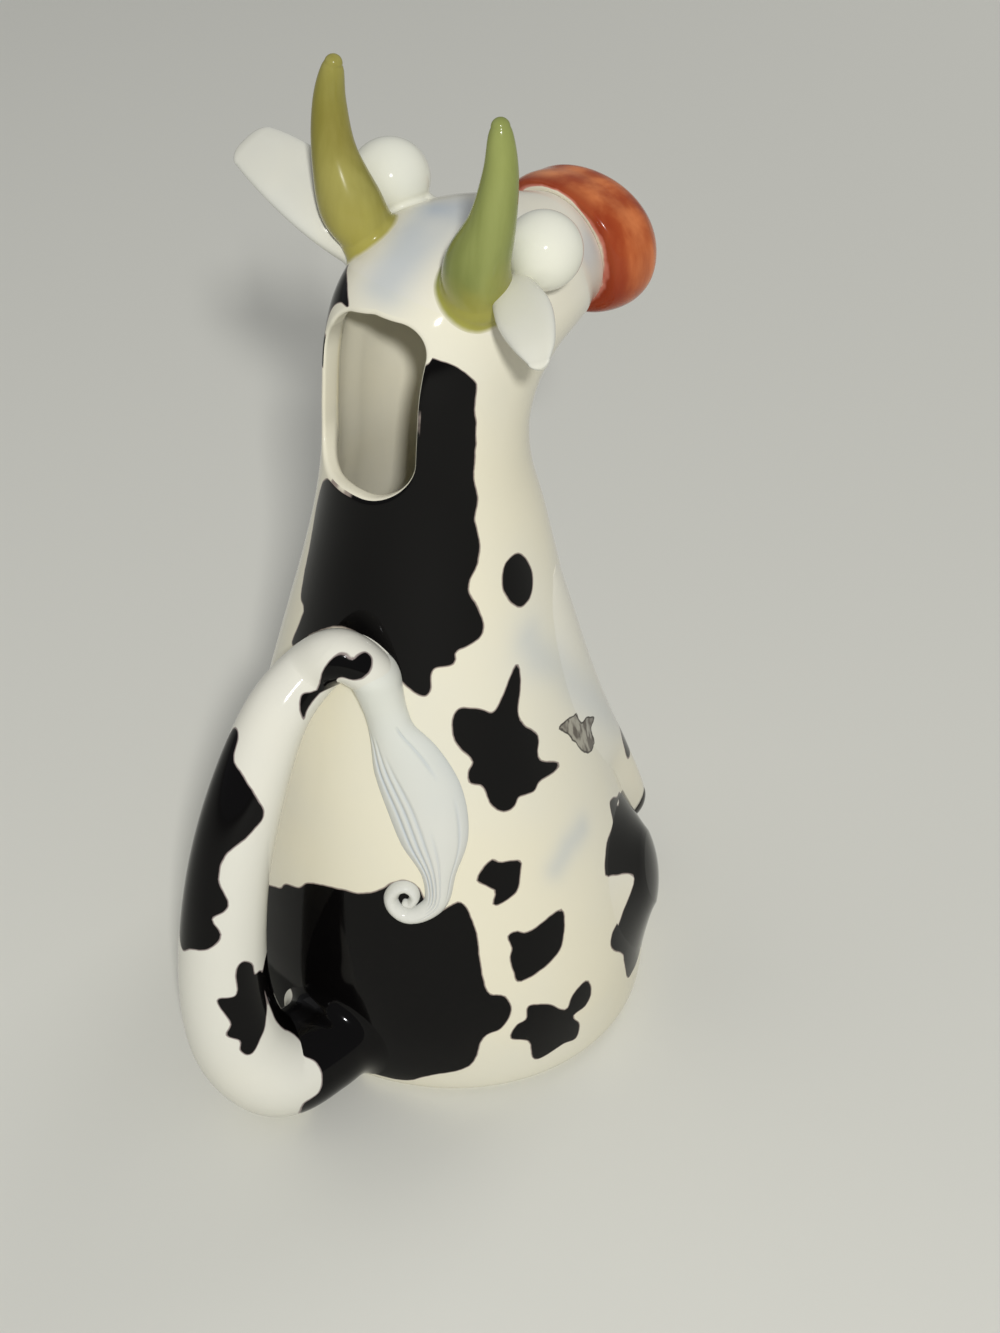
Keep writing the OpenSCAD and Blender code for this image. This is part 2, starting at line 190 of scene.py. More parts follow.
linen = bpy.data.materials.new("table_white")
linen.use_nodes = True
linen_look = linen.node_tree.nodes["Principled BSDF"].inputs
linen_look["Roughness"].default_value = 0.85
linen_look["Base Color"].default_value = paint(215, 214, 204)
table_mesh = bpy.data.meshes.new("table")
table_mesh.from_pydata([(-4, -4, 0), (4, -4, 0), (4, 4, 0), (-4, 4, 0)], [], [(0, 1, 2, 3)])
table_mesh.materials.append(linen)
table = bpy.data.objects.new("table", table_mesh)
bpy.context.scene.collection.objects.link(table)

# ---- thrown body
# The belly, shoulder and neck of the cow are one thrown wall of pottery, open at the nape,
# dipped in a warm white glaze, with black patches brushed on under it.

belly_r, crown_h, wall_t, floor_t = 0.046, 0.173, 0.004, 0.006
opening_w, opening_h, opening_mid, opening_row = 0.023, 0.0335, 0.14575, 12.4
upper_corner_r, lower_corner_r, left_corner_more, left_corner_less = 0.0052, 0.0088, 0.0050, 0.0020
left_in, upper_left_drop, lower_rise = 0.0004, 0.0026, 0.0007
nape_r, nape_row_h, row_size = 0.0185, 0.0105, 0.0132
lip_r, lip_t = 0.0011, 0.0029
seam_row, snout_row = 14.5, 19.0

# back reach and height, front reach and height, half width, squareness of the back half
skin_rows = np.array([
    (0.987, 0.000, -0.780, 0.000, 0.950, 2.0), (1.030, 0.017, -0.800, 0.017, 0.982, 2.0),
    (1.052, 0.064, -0.800, 0.064, 0.986, 2.0), (1.057, 0.127, -0.785, 0.127, 0.965, 2.0),
    (1.026, 0.208, -0.735, 0.208, 0.905, 2.0), (0.978, 0.289, -0.645, 0.289, 0.824, 2.0),
    (0.924, 0.370, -0.556, 0.370, 0.743, 2.0), (0.854, 0.451, -0.480, 0.451, 0.657, 2.0),
    (0.778, 0.532, -0.412, 0.532, 0.578, 2.0), (0.704, 0.613, -0.354, 0.607, 0.500, 2.0),
    (0.643, 0.688, -0.296, 0.671, 0.439, 2.0), (0.607, 0.757, -0.235, 0.723, 0.400, 2.0),
    (0.587, 0.827, -0.209, 0.766, 0.387, 2.1), (0.561, 0.890, -0.235, 0.795, 0.383, 2.2),
    (0.485, 0.941, -0.283, 0.815, 0.383, 2.3), (0.322, 0.977, -0.343, 0.830, 0.380, 2.5),
    (0.109, 0.994, -0.402, 0.840, 0.374, 2.75), (-0.130, 0.990, -0.461, 0.845, 0.340, 2.65),
    (-0.326, 0.980, -0.504, 0.845, 0.287, 2.3), (-0.500, 0.969, -0.543, 0.840, 0.243, 2.0),
]) * (belly_r, crown_h, belly_r, crown_h, belly_r, 1.0)


def between_rows(table_rows, place):
    """Smooth value of a table at row numbers that may lie between two rows: a Catmull-Rom
    curve through the rows, with straight ends."""
    table_rows, place = np.asarray(table_rows, float), np.asarray(place, float)
    last = len(table_rows) - 1
    i = np.clip(np.floor(place), 0, last - 1).astype(int)
    s = (place - i)[..., None]
    b, c = table_rows[i], table_rows[i + 1]
    a = np.where((i > 0)[..., None], table_rows[np.maximum(i - 1, 0)], 2 * b - c)
    d = np.where((i < last - 1)[..., None], table_rows[np.minimum(i + 2, last)], 2 * c - b)
    return (b + (c - a) * s / 2 + (2 * a - 5 * b + 4 * c - d) * s * s / 2
            + (3 * b - a - 3 * c + d) * s ** 3 / 2)


def oval(middle, half, side, turn, square):
    """A point of a squared oval: middle + half * cos^(2/p) + side * sin^(2/p)."""
    c, s = np.cos(np.radians(turn))[..., None], np.sin(np.radians(turn))[..., None]
    e = 2.0 / np.asarray(square)[..., None]
    return (middle + half * np.sign(c) * np.abs(c) ** e
            + side[..., None] * np.sign(s) * np.abs(s) ** e * np.array([1.0, 0.0, 0.0]))


def skin(row, turn, inset=0.0):
    """A point of the skin at a row of the table and a turn in degrees from the back, 90 being
    the cow's left side; inset moves it into the wall."""
    row, turn = np.broadcast_arrays(np.asarray(row, float), np.asarray(turn, float))
    inset = np.asarray(inset, float)
    r = between_rows(skin_rows, row)
    back = np.stack([0 * row, r[..., 0], r[..., 1]], -1)
    front = np.stack([0 * row, r[..., 2], r[..., 3]], -1)
    half = (back - front) / 2
    half = half * (1 - inset[..., None] / np.linalg.norm(half, axis=-1, keepdims=True))
    return oval((back + front) / 2, half, r[..., 4] - inset, turn,
                np.where(np.cos(np.radians(turn)) > 0, r[..., 5], 2.0))


def skin_slopes(row, turn, inset=0.0):
    """The point, its change per row and per degree, and the outward direction there."""
    p = skin(row, turn, inset)
    up, round_ = skin(row + 0.01, turn, inset) - p, skin(row, turn + 0.1, inset) - p
    up, round_ = up / 0.01, round_ / 0.1
    return p, up, round_, unit(np.cross(up, round_), 1e-15)


def foot_on_skin(points, row, turn):
    """Row and turn of the nearest skin under each point, the outward direction and the height
    over it, by least-squares steps from a first guess."""
    row = np.broadcast_to(np.asarray(row, float), points.shape[:-1])
    turn = np.broadcast_to(np.asarray(turn, float), points.shape[:-1])
    for _ in range(16):
        p, up, round_, out = skin_slopes(row, turn)
        d = points - p
        a, b, c = (up * up).sum(-1), (up * round_).sum(-1), (round_ * round_).sum(-1)
        e, f = (up * d).sum(-1), (round_ * d).sum(-1)
        det = a * c - b * b + 1e-18
        row = np.clip(row + np.clip((c * e - b * f) / det, -0.8, 0.8), 0.0, snout_row)
        turn = turn + np.clip((a * f - b * e) / det, -12.0, 12.0)
    p, up, round_, out = skin_slopes(row, turn)
    return row, turn, out, ((points - p) * out).sum(-1)


def nape(x, z, inset):
    """Row and turn of the skin of the nape that lies at x and z, by Newton steps."""
    row, turn = opening_row + (z - opening_mid) / nape_row_h, np.degrees(np.arcsin(x / nape_r))
    for _ in range(20):
        p, up, round_, _ = skin_slopes(row, turn, inset)
        dx, dz = x - p[..., 0], z - p[..., 2]
        det = up[..., 0] * round_[..., 2] - up[..., 2] * round_[..., 0]
        row = row + np.clip((dx * round_[..., 2] - dz * round_[..., 0]) / det, -0.3, 0.3)
        turn = turn + np.clip((dz * up[..., 0] - dx * up[..., 2]) / det, -6.0, 6.0)
    return row, turn


def shell(rings, ends=(None, None), loop=False, keep=None):
    """Skin over closed rings: points, quads and fans, with only the quads to keep where these
    are given. Each end is drawn in to a point of its own, the middle of its ring where none is
    given, or the last ring is joined to the first."""
    n, c = rings.shape[:2]
    k = np.arange(c)
    after, last = (k + 1) % c, (n - 1) * c
    row = np.arange(n - 1)[:, None] * c
    quads = np.stack([row + k, row + c + k, row + c + after, row + after], 2)
    quads = quads.reshape(-1, 4) if keep is None else quads[keep]
    if loop:
        close = np.stack([last + k, k, after, last + after], 1)
        return rings.reshape(-1, 3), np.concatenate([quads, close]), np.zeros((0, 3), int)
    tips = [ring.mean(0) if tip is None else tip for ring, tip in zip((rings[0], rings[-1]), ends)]
    fans = np.concatenate([np.stack([0 * k + n * c, k, after], 1),
                           np.stack([0 * k + n * c + 1, last + after, last + k], 1)])
    return np.concatenate([rings.reshape(-1, 3), tips]), quads, fans


def fire(name, points, quads, fans, nodes, glaze, marks, lie=None):
    """Makes a finished piece: its mesh with outward faces, its marks for the glaze, its own
    point directions where given, and its place in the frame."""
    points = np.asarray(points, float)
    ring = np.concatenate([quads[:, [0, 1, 2]], quads[:, [0, 2, 3]], fans])
    a, b, c = points[ring[:, 0]], points[ring[:, 1]], points[ring[:, 2]]
    if (a * np.cross(b, c)).sum() < 0:
        quads, fans = quads[:, ::-1], fans[:, ::-1]
    mesh = bpy.data.meshes.new(name)
    mesh.vertices.add(len(points))
    mesh.vertices.foreach_set("co", points.ravel())
    sizes = np.concatenate([np.full(len(quads), 4), np.full(len(fans), 3)])
    corners = np.concatenate([quads.ravel(), fans.ravel()])
    mesh.loops.add(len(corners))
    mesh.loops.foreach_set("vertex_index", corners)
    mesh.polygons.add(len(sizes))
    mesh.polygons.foreach_set("loop_start", np.cumsum(sizes) - sizes)
    mesh.polygons.foreach_set("use_smooth", np.ones(len(sizes), bool))
    mesh.update(calc_edges=True)
    for mark, values in marks.items():
        layer = mesh.attributes.new(mark, "FLOAT", "POINT")
        layer.data.foreach_set("value", np.asarray(values, np.float32).ravel())
    mesh.materials.append(glaze)
    if lie is not None:
        own = np.zeros(points.size, np.float32)
        mesh.vertex_normals.foreach_get("vector", own)
        own = own.reshape(-1, 3)
        first, directions = lie
        own[first:first + len(directions)] = directions
        mesh.normals_split_custom_set_from_vertices(own)
    piece = bpy.data.objects.new(name, mesh)
    bpy.context.scene.collection.objects.link(piece)
    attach(piece, "root")
    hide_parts(*nodes)


def outline(points, steps=5):
    """A smooth closed line through given points."""
    points = np.array(points, float)
    n = len(points)
    ring = np.concatenate([points[-1:], points, points[:2]])
    return between_rows(ring, 1 + np.arange(n * steps) / steps)


outside = -9.0  # depth of a point far outside a painted patch, in millimetres


def edge_gap(a, b, u, v, u_size, v_size):
    """How far points (u, v) lie from an edge: the distance to a + t (b - a), t from 0 to 1."""
    eu, ev = (b[0] - a[0]) * u_size, (b[1] - a[1]) * v_size
    du, dv = (u - a[0]) * u_size, (v - a[1]) * v_size
    t = np.clip((du * eu + dv * ev) / (eu * eu + ev * ev + 1e-18), 0, 1)
    return np.hypot(du - t * eu, dv - t * ev)


def depth_in(lines, u, v, u_size, v_size):
    """How deep points (u, v) lie inside the nearest of some closed lines, in millimetres,
    negative outside: the distance to the nearest edge, with its sign from the crossings of a
    ray. u_size and v_size are the metres in one step of u and v."""
    deepest = np.full(u.shape, outside)
    pad_u, pad_v = 0.004 / u_size, 0.004 / v_size
    su, sv = np.broadcast_to(u_size, u.shape), np.broadcast_to(v_size, u.shape)
    for line in lines:
        near = ((u > line[:, 0].min() - pad_u) & (u < line[:, 0].max() + pad_u)
                & (v > line[:, 1].min() - pad_v) & (v < line[:, 1].max() + pad_v))
        pu, pv = u[near], v[near]
        best, inside = np.full(pu.shape, 1e9), np.zeros(pu.shape, bool)
        for a, b in zip(line, np.roll(line, -1, 0)):
            best = np.minimum(best, edge_gap(a, b, pu, pv, su[near], sv[near]))
            if a[1] != b[1]:
                inside ^= ((a[1] > pv) != (b[1] > pv)) & (
                    pu < (b[0] - a[0]) * (pv - a[1]) / (b[1] - a[1]) + a[0])
        deepest[near] = np.maximum(deepest[near], np.where(inside, best, -best) * 1000)
    return deepest


# outlines of the black patches: turn from the back in degrees, row of the skin
patches = [
    [(-38.9, 13.65), (-45.3, 13.7), (-55.1, 13.69), (-63.8, 13.56), (-68.8, 13.38), (-70.5, 12.85),
     (-73, 12.32), (-72, 11.58), (-73, 11.1), (-70.9, 10.74), (-71.8, 10.33), (-69.6, 9.97),
     (-64.8, 9.7), (-65.3, 9.46), (-69.7, 9.12), (-68.9, 8.87), (-62.4, 8.77), (-57.1, 8.71),
     (-55.6, 8.55), (-47.4, 8.5), (-46.1, 8.22), (-43.4, 8.15), (-37.9, 8.25), (-32, 8.43),
     (-26.9, 8.66), (-20.3, 8.79), (-11, 8.87), (-1.9, 8.8), (9.4, 8.53), (24.7, 8.02),
     (21, 8.62), (27.1, 8.71), (29.8, 9.01), (31, 9.5), (33, 10.1), (28, 10.6), (17.5, 10.85),
     (5.1, 10.83), (-8.3, 10.88), (-20.5, 10.98), (-29.7, 11.19), (-35.5, 11.51),
     (-40.1, 12.2), (-38.6, 13.25)],
    [(-93.7, 9.84), (-98.4, 9.66), (-101.1, 9.41), (-100.1, 9.21), (-95.9, 9.07), (-89.7, 9.04),
     (-85.1, 9.18), (-82.2, 9.4), (-82.6, 9.62), (-86, 9.81)],
    [(-83, 8.26), (-83.9, 8.04), (-80.9, 7.61), (-83.4, 7.35), (-88.2, 7.14), (-86.8, 6.82),
     (-95.4, 6.56), (-91.8, 6.51), (-85.1, 6.52), (-82.3, 6.42), (-76.3, 6.45), (-73.9, 6.34),
     (-69.1, 6.34), (-65.7, 6.51), (-63.9, 6.77), (-59.5, 6.86), (-59.5, 7.02), (-61.3, 7.18),
     (-55.4, 7.45), (-54.3, 7.74), (-57.5, 7.92), (-65.3, 7.84), (-70.4, 7.75), (-75.3, 7.93)],
    [(-63.6, 5.66), (-66.3, 5.58), (-72.5, 5.51), (-72.2, 5.34), (-69.8, 5.05), (-62.5, 4.95),
     (-63.8, 5.18), (-58.5, 5.4)],
    [(-82.8, 4.47), (-81.5, 4.02), (-77.6, 3.78), (-67, 3.61), (-65.3, 3.81), (-64.7, 4.04),
     (-65.7, 4.2), (-65.1, 4.39), (-67.6, 4.43), (-71.4, 4.36)],
    [(-87.1, 3.06), (-88.6, 2.79), (-86.3, 2.52), (-81.5, 2.45), (-83.5, 2.12), (-82.3, 1.72),
     (-77.8, 1.77), (-69.3, 1.64), (-67.6, 2.3), (-62.6, 2.52), (-64.3, 2.79), (-67.2, 2.88),
     (-68.4, 3.13), (-74, 3.01), (-79.4, 2.71), (-82.1, 2.95)],
    [(20, 4.1), (11.5, 4.3), (5.2, 4.45), (3, 4.6), (-2.4, 4.71), (-5.5, 4.88), (-11.6, 4.99),
     (-18.7, 5.05), (-23.1, 5.07), (-29.6, 5.22), (-33, 5.36), (-37.2, 5.42), (-40.7, 5.33),
     (-42.3, 5.14), (-43.8, 4.95), (-46.9, 4.95), (-53.2, 5.07), (-56.2, 4.56), (-56.1, 3.98),
     (-57.6, 3.54), (-61.8, 3.44), (-63.3, 3.16), (-60.2, 2.83), (-55.2, 2.66), (-50.9, 1.87),
     (-40.8, 1.53), (-32.8, 1.08), (-23.2, 1.04), (-16, 0.9), (-8, 1.0), (0, 1.1), (10, 1.0),
     (19, 1.5), (23, 2.6), (25, 3.4)],
    [(13.4, 13.9), (16.5, 14.05), (23.5, 14.25), (34, 14.45), (44, 14.62), (54, 14.5), (62, 14.1),
     (68, 13.5), (60, 12.9), (50, 12.4), (40, 12.6), (38, 13.2), (32, 13.7), (22, 13.9)],
    [(-140, 5.5), (-145, 5.7), (-150, 5.55), (-152, 5.2), (-146, 5.0), (-141, 4.95),
     (-139.5, 5.2)],
    [(-139, 8.45), (-146, 8.7), (-154, 8.5), (-151, 8.0), (-141, 7.95)],
    [(-118, 5.16), (-125.2, 4.95), (-131, 4.7), (-133, 3.6), (-131, 2.6), (-127, 1.95),
     (-119, 1.88), (-111.8, 1.9), (-106.9, 2.0), (-104.6, 2.58), (-104.3, 2.85), (-99, 3.23),
     (-100.6, 3.45), (-107.4, 3.53), (-115.5, 3.54), (-122.7, 3.5), (-105.8, 4.26),
     (-103.5, 4.48), (-108.5, 4.78), (-115.6, 4.87)],
    # the side that the photograph doesn't show
    [(62, 8.6), (75, 8.9), (88, 8.5), (97, 7.9), (95, 7.2), (104, 6.6), (98, 5.9), (86, 6.1),
     (78, 5.6), (66, 5.9), (60, 6.7), (66, 7.4), (57, 7.9)],
    [(48, 5.2), (56, 5.5), (62, 5.1), (58, 4.6), (50, 4.5), (45, 4.8)],
    [(70, 4.4), (79, 4.7), (88, 4.3), (90, 3.6), (83, 3.0), (75, 3.1), (70, 3.7)],
    [(52, 2.9), (60, 3.2), (66, 2.7), (63, 1.9), (54, 1.8), (49, 2.3)],
    [(85, 11.6), (100, 11.9), (115, 11.3), (112, 10.5), (98, 10.2), (88, 10.6)],
    [(170, 9.5), (182, 9.9), (193, 9.4), (196, 8.6), (188, 8.0), (177, 8.1), (168, 8.7)],
]
patches = [outline(p) for p in patches]


def spray(lines, row, turn, degree):
    """Strength of soft blue-grey lines on the skin, spray over the crown and painted shade along
    the creases. A line holds its half width in metres, its strength, and points (turn, row);
    degree is the metres in one degree."""
    left = np.ones(row.shape)
    for width, strength, *line in lines:
        near = np.full(row.shape, 1.0)
        for a, b in zip(line, line[1:]):
            near = np.minimum(near, edge_gap(a, b, turn, row, degree, row_size))
        left = left * (1 - strength * np.exp(-(near / width) ** 2))
    return 1 - left


# painted shade: pale blue-grey along the creases of the arms and the haunches, on both sides of
# the cow
crease_shade = [(width, strength, *((side * turn, row) for turn, row in line))
                for side in (-1, 1) for width, strength, line in (
                    (0.0042, 0.30, [(92.0, 8.5), (95.7, 8.19), (104.4, 7.87), (114.3, 7.36),
                                    (126.9, 6.62), (141.0, 5.75)]),
                    (0.0030, 0.30, [(98.1, 5.4), (91.0, 5.34), (84.5, 5.13)]))]
crown_spray = [(0.0042, 0.50, (10.6, 16.28), (3.7, 15.58), (0.3, 15.0), (-1.3, 14.46)),
               (0.0035, 0.35, (5, 16.83), (10.6, 16.28)),
               (0.0040, 0.40, (-70, 18.0), (-62, 18.6)), (0.0040, 0.40, (70, 18.0), (62, 18.6)),
               (0.0050, 0.20, (-12, 16.6), (-40, 17.4)), (0.0050, 0.20, (12, 16.6), (40, 17.4))]
wash = outline([(-98.6, 7.04), (-105, 7.01), (-108.8, 6.95), (-112, 6.91), (-112.6, 6.8),
                (-114.5, 6.7), (-117.3, 6.69), (-121.5, 6.55), (-118.6, 6.48), (-118.8, 6.35),
                (-119.3, 6.19), (-114.7, 6.19), (-110.4, 6.33), (-107.1, 6.56), (-103.5, 6.8),
                (-100.5, 6.94)], 3)


bare = {"black": outside, "blue": 0.0, "wash": 0.0}


def skin_marks(row, turn):
    """The marks of the white glaze at rows and turns of the skin: depth in the black, strength
    of the pale blue-grey, which is spray over the crown and painted shade along the creases,
    and depth in the grey-brown wash counted from outside."""
    row, turn = np.broadcast_arrays(np.asarray(row, float), np.asarray(turn, float))
    turn = (turn + 180) % 360 - 180
    degree = np.radians(1) * between_rows(skin_rows, row)[..., 4]
    black_turn = np.where(turn < -164, turn + 360, turn)
    return {"black": depth_in(patches, black_turn, row, degree, row_size).ravel(),
            "blue": spray(crease_shade + crown_spray, row, turn, degree).ravel(),
            "wash": depth_in([wash], turn, row, degree, row_size).ravel() - outside}


def white_glaze(name, warm, cool):
    """Clear gloss over white slip: warm and cool clouds, a pale blue-grey where the mark blue is,
    which is spray over the crown and painted shade along the creases and in the tuft's grooves,
    a sketched grey-brown patch where the mark wash is over 9, and black patches where the mark
    black is over 0, with a thin plum edge and a slight step at it."""
    glaze, wire = open_glaze(name, 0.10, 0.06)
    edge = wire.ragged("black", 260.0, 0.7)
    ink = edge.rise(-0.08, 0.10)
    patch = wire.ragged("wash", 330.0, 0.9, 3.0)
    sketch = wire.clouds(620.0, 3.0, (1.0, 1.0, 0.35)).rise(0.40, 0.60)
    colour = (wire.clouds(22.0).rise(0.35, 0.65).blend(warm, cool)
              .coat(wire.mark("blue") * (wire.clouds(90.0) * 0.5 + 0.75), (160, 174, 190))
              .coat(patch.rise(8.85, 9.05) * (sketch * 0.38 + 0.56), (78, 70, 62))
              .coat((patch.rise(8.8, 8.95) - patch.rise(9.1, 9.3)) * 0.8, (40, 34, 30))
              .coat(edge.rise(-0.34, -0.12) * 0.7, (82, 46, 58)).coat(ink, (8, 7, 7)))
    close_glaze(colour, ink * 0.25 + wire.clouds(75.0, 2.0) * 0.6, 0.0003)
    return glaze


body_glaze = white_glaze("body_glaze", (228, 222, 198), (224, 220, 201))

columns = 360
turns = np.arange(columns) - 180.0
rows_out = np.concatenate([np.linspace(0, 10.5, 151), np.linspace(10.5, 14.3, 41)[1:],
                           [14.4, seam_row]])
rows_in = np.concatenate([[seam_row, 14.4], np.linspace(14.3, 10.5, 41),
                          np.linspace(10.5, 1, 14)[1:]])
under = [skin(0.0, turns) * (s, s, 0) for s in (0.4, 0.85, 0.985)]
outer = skin(rows_out[:, None], turns)
thin = np.clip(np.maximum((np.abs(turns) - 50) / 30,
                          (np.abs(rows_in[:, None] - opening_row) - 2) / 1.2), 0, 1)
inner = skin(rows_in[:, None], turns, lip_t + (wall_t - lip_t) * thin * thin * (3 - 2 * thin))
basin = skin(1.0, turns, wall_t * 2)
inside_floor = [basin * (s, s, 0) + (0, 0, floor_t) for s in (1.0, 0.7, 0.3)]
rings = np.concatenate([under, outer, inner, inside_floor])

# the opening: a strip from the grid's edge to the rounded lip, through the wall and back
side_turn, low, high = 48, 150, 190
left, right = 180 - side_turn, 180 + side_turn
first_out, first_in = len(under), len(under) + len(rows_out)
walk = np.array([(low, k) for k in range(left, right)] + [(i, right) for i in range(low, high)]
                + [(high, k) for k in range(right, left, -1)]
                + [(i, left) for i in range(high, low, -1)])
edge_out = (first_out + walk[:, 0]) * columns + walk[:, 1]
edge_in = (first_in + 2 + high - walk[:, 0]) * columns + walk[:, 1]
edge_place = np.stack([rows_out[walk[:, 0]], turns[walk[:, 1]]], 1)


def opening_line(grow):
    """x and z of the opening, grown by a width, on the rays of the grid's edge: a box with
    rounded corners, each corner with a radius of its own, and the upper left one sits lower."""
    ray = np.stack([edge_place[:, 1] / side_turn * opening_w,
                    (edge_place[:, 0] - opening_row) / 1.9 * opening_h], 1)
    near, far = np.zeros(len(ray)), np.full(len(ray), 2.0)
    for _ in range(40):
        mid = (near + far) / 2
        p = ray * mid[:, None]
        left_part = np.clip((p[:, 0] + 0.001) / 0.010, 0, 1)
        corner = np.where(p[:, 1] > 0, upper_corner_r + left_corner_more * left_part,
                          lower_corner_r - left_corner_less * left_part)
        half_h = opening_h / 2 - np.where(p[:, 1] > 0, upper_left_drop * left_part, lower_rise)
        half_w = opening_w / 2 - np.where(p[:, 0] < 0, left_in, 0.0)
        q = np.abs(p) - np.stack([half_w - corner, half_h - corner], 1)
        over = (np.linalg.norm(np.maximum(q, 0), axis=1) + np.minimum(q.max(1), 0)
                - corner - grow) > 0
        near, far = np.where(over, near, mid), np.where(over, mid, far)
    return ray[:, 0] * near, ray[:, 1] * near + opening_mid


def wall_face(inset, shares, into):
    """Loops of points on one face of the wall round the opening: from the grid's edge in, at
    shares of the way, then round the lip's quarter circle. Gives the rows and turns of the
    first ones too."""
    lip_place = np.stack(nape(*opening_line(lip_r), inset), 1)
    places = [(1 - s) * edge_place + s * lip_place for s in shares]
    loops = [skin(*place.T, inset) for place in places]
    for angle in np.radians([15, 30, 45, 60, 75, 90]):
        x, z = opening_line(lip_r * (1 - np.sin(angle)))
        y = skin(*nape(x, z, inset), inset)[:, 1] + into * lip_r * (1 - np.cos(angle))
        loops.append(np.stack([x, y, z], 1))
    return loops, np.concatenate(places)


loops, loop_places = wall_face(0.0, np.linspace(0, 1, 9)[1:], -1)
loops += wall_face(lip_t, (0.2, 0.4, 0.6, 0.8, 1.0), 1)[0][::-1]

count = len(rings) * columns
walk_n = len(walk)
strip = np.concatenate([[edge_out], count + 2 + np.arange(len(loops) * walk_n).reshape(-1, walk_n),
                        [edge_in]])
a, b = strip[:-1], strip[1:]
strip_quads = np.stack([a, b, np.roll(b, -1, 1), np.roll(a, -1, 1)], -1).reshape(-1, 4)
i, k = np.arange(len(rings) - 1)[:, None], np.arange(columns)
cut = (k >= left) & (k < right) & (((i >= first_out + low) & (i < first_out + high))
                                   | ((i >= first_in + 2) & (i < first_in + 2 + high - low)))
points, quads, fans = shell(rings, keep=~cut)
points, quads = np.concatenate([points] + loops), np.concatenate([quads, strip_quads])
body_marks = {mark: np.full(len(points), level) for mark, level in bare.items()}
lip_marks = skin_marks(*loop_places.T)
for mark, values in skin_marks(rows_out[:, None], turns).items():
    body_marks[mark][first_out * columns:first_in * columns] = values
    over_lip = np.concatenate([lip_marks[mark], np.tile(lip_marks[mark][-walk_n:] - 0.6, 3)])
    body_marks[mark][count + 2:count + 2 + len(over_lip)] = over_lip
outward = skin_slopes(*np.broadcast_arrays(rows_out[:, None], turns))[3].reshape(-1, 3)
fire("body", points, quads, fans, ["body_shell"], body_glaze, body_marks,
     (first_out * columns, outward))

# ---- head
# The same pottery carried on over the crown and out to the snout. It is hollow, to let the
# cream through, and has a pale blue-grey spray over the crown.

head_wall_t = 0.0032

head_glaze = white_glaze("head_glaze", (228, 222, 200), (224, 220, 204))
head_rows = np.linspace(seam_row, snout_row, 101)[:, None]
head_in = head_rows[::-2]
head_rings = np.concatenate([skin(head_rows, turns), skin(head_in, turns, head_wall_t)])
points, quads, fans = shell(head_rings, loop=True)
row_of = np.concatenate([head_rows, head_in])
turn_of = np.broadcast_to(turns, head_rings.shape[:2])
head_marks = skin_marks(row_of, turn_of)
for mark, level in bare.items():
    head_marks[mark][len(head_rows) * columns:] = level
fire("head", points, quads, fans, ["head_shell"], head_glaze, head_marks,
     (0, skin_slopes(*np.broadcast_arrays(seam_row, turns))[3]))

# ---- muzzle
# A swollen snout modelled on the end of the head, brushed with rust over the white, with the
# pouring mouth through it and two nostrils pressed in with a round tool.

muzzle_w, muzzle_h, muzzle_len = 0.0155, 0.0129, 0.015
nostril_r, nostril_deep = 0.0019, 0.0019
snout_back, snout_front = skin(snout_row, 0.0), skin(snout_row, 180.0)
snout_mid = (snout_back + snout_front) / 2 + (0.0003, -0.0003, 0.0005)
snout_up = unit(snout_back - snout_front)
snout_way = np.array([0.0, -snout_up[2], snout_up[1]])

# depth, half width, half height, drop and squareness, out from the head, round the lip and in
muzzle_rows = np.array([
    (0.0, 0.7226, 0.868, 0.0, 2.0), (0.03, 0.87, 0.94, 0.02, 2.1), (0.12, 0.95, 0.99, 0.06, 2.1),
    (0.28, 1.00, 1.01, 0.10, 2.1), (0.47, 1.00, 1.00, 0.14, 2.1), (0.64, 0.965, 0.96, 0.14, 2.1),
    (0.80, 0.86, 0.85, 0.14, 2.1), (0.92, 0.72, 0.70, 0.15, 2.1), (1.00, 0.55, 0.50, 0.20, 2.1),
    (1.00, 0.50, 0.34, 0.30, 2.0), (0.975, 0.465, 0.27, 0.35, 2.0), (0.90, 0.455, 0.25, 0.35, 2.0),
    (0.60, 0.465, 0.256, 0.35, 2.0), (0.25, 0.465, 0.46, 0.175, 2.0), (0.0, 0.517, 0.62, 0.0, 2.0),
]) * (muzzle_len, muzzle_w, muzzle_h, muzzle_h, 1.0)


def muzzle_at(place, turn):
    """A point of the muzzle: place is a row of its table, turn is degrees from its top."""
    place, turn = np.broadcast_arrays(np.asarray(place, float), np.asarray(turn, float))
    r = between_rows(muzzle_rows, place)
    middle = snout_mid + r[..., :1] * snout_way - r[..., 3:4] * snout_up
    return oval(middle, r[..., 2:3] * snout_up, r[..., 1], turn, r[..., 4])


place = np.concatenate([np.linspace(0, 6, 61), np.linspace(6, 10, 91)[1:],
                        np.linspace(10, 14, 21)[1:]])[:, None]
muzzle_columns = 240
muzzle_turns = np.arange(muzzle_columns) * 360 / muzzle_columns
rings = muzzle_at(place, muzzle_turns)
press = np.zeros(rings.shape[:2])
for side in (-1, 1):
    hole = (snout_mid + snout_way * muzzle_len * 0.96 + snout_up * muzzle_h * 0.22
            + np.array([side * muzzle_w * 0.42, 0, 0]))
    d = rings - hole
    d = np.linalg.norm(d - (d @ snout_way)[..., None] * snout_way * 0.6, axis=-1)
    t = np.clip((1.35 * nostril_r - d) / (0.9 * nostril_r), 0, 1)
    press = np.maximum(press, t * t * (3 - 2 * t) * (place < 9.6))
rings = rings - (press * nostril_deep)[..., None] * snout_way

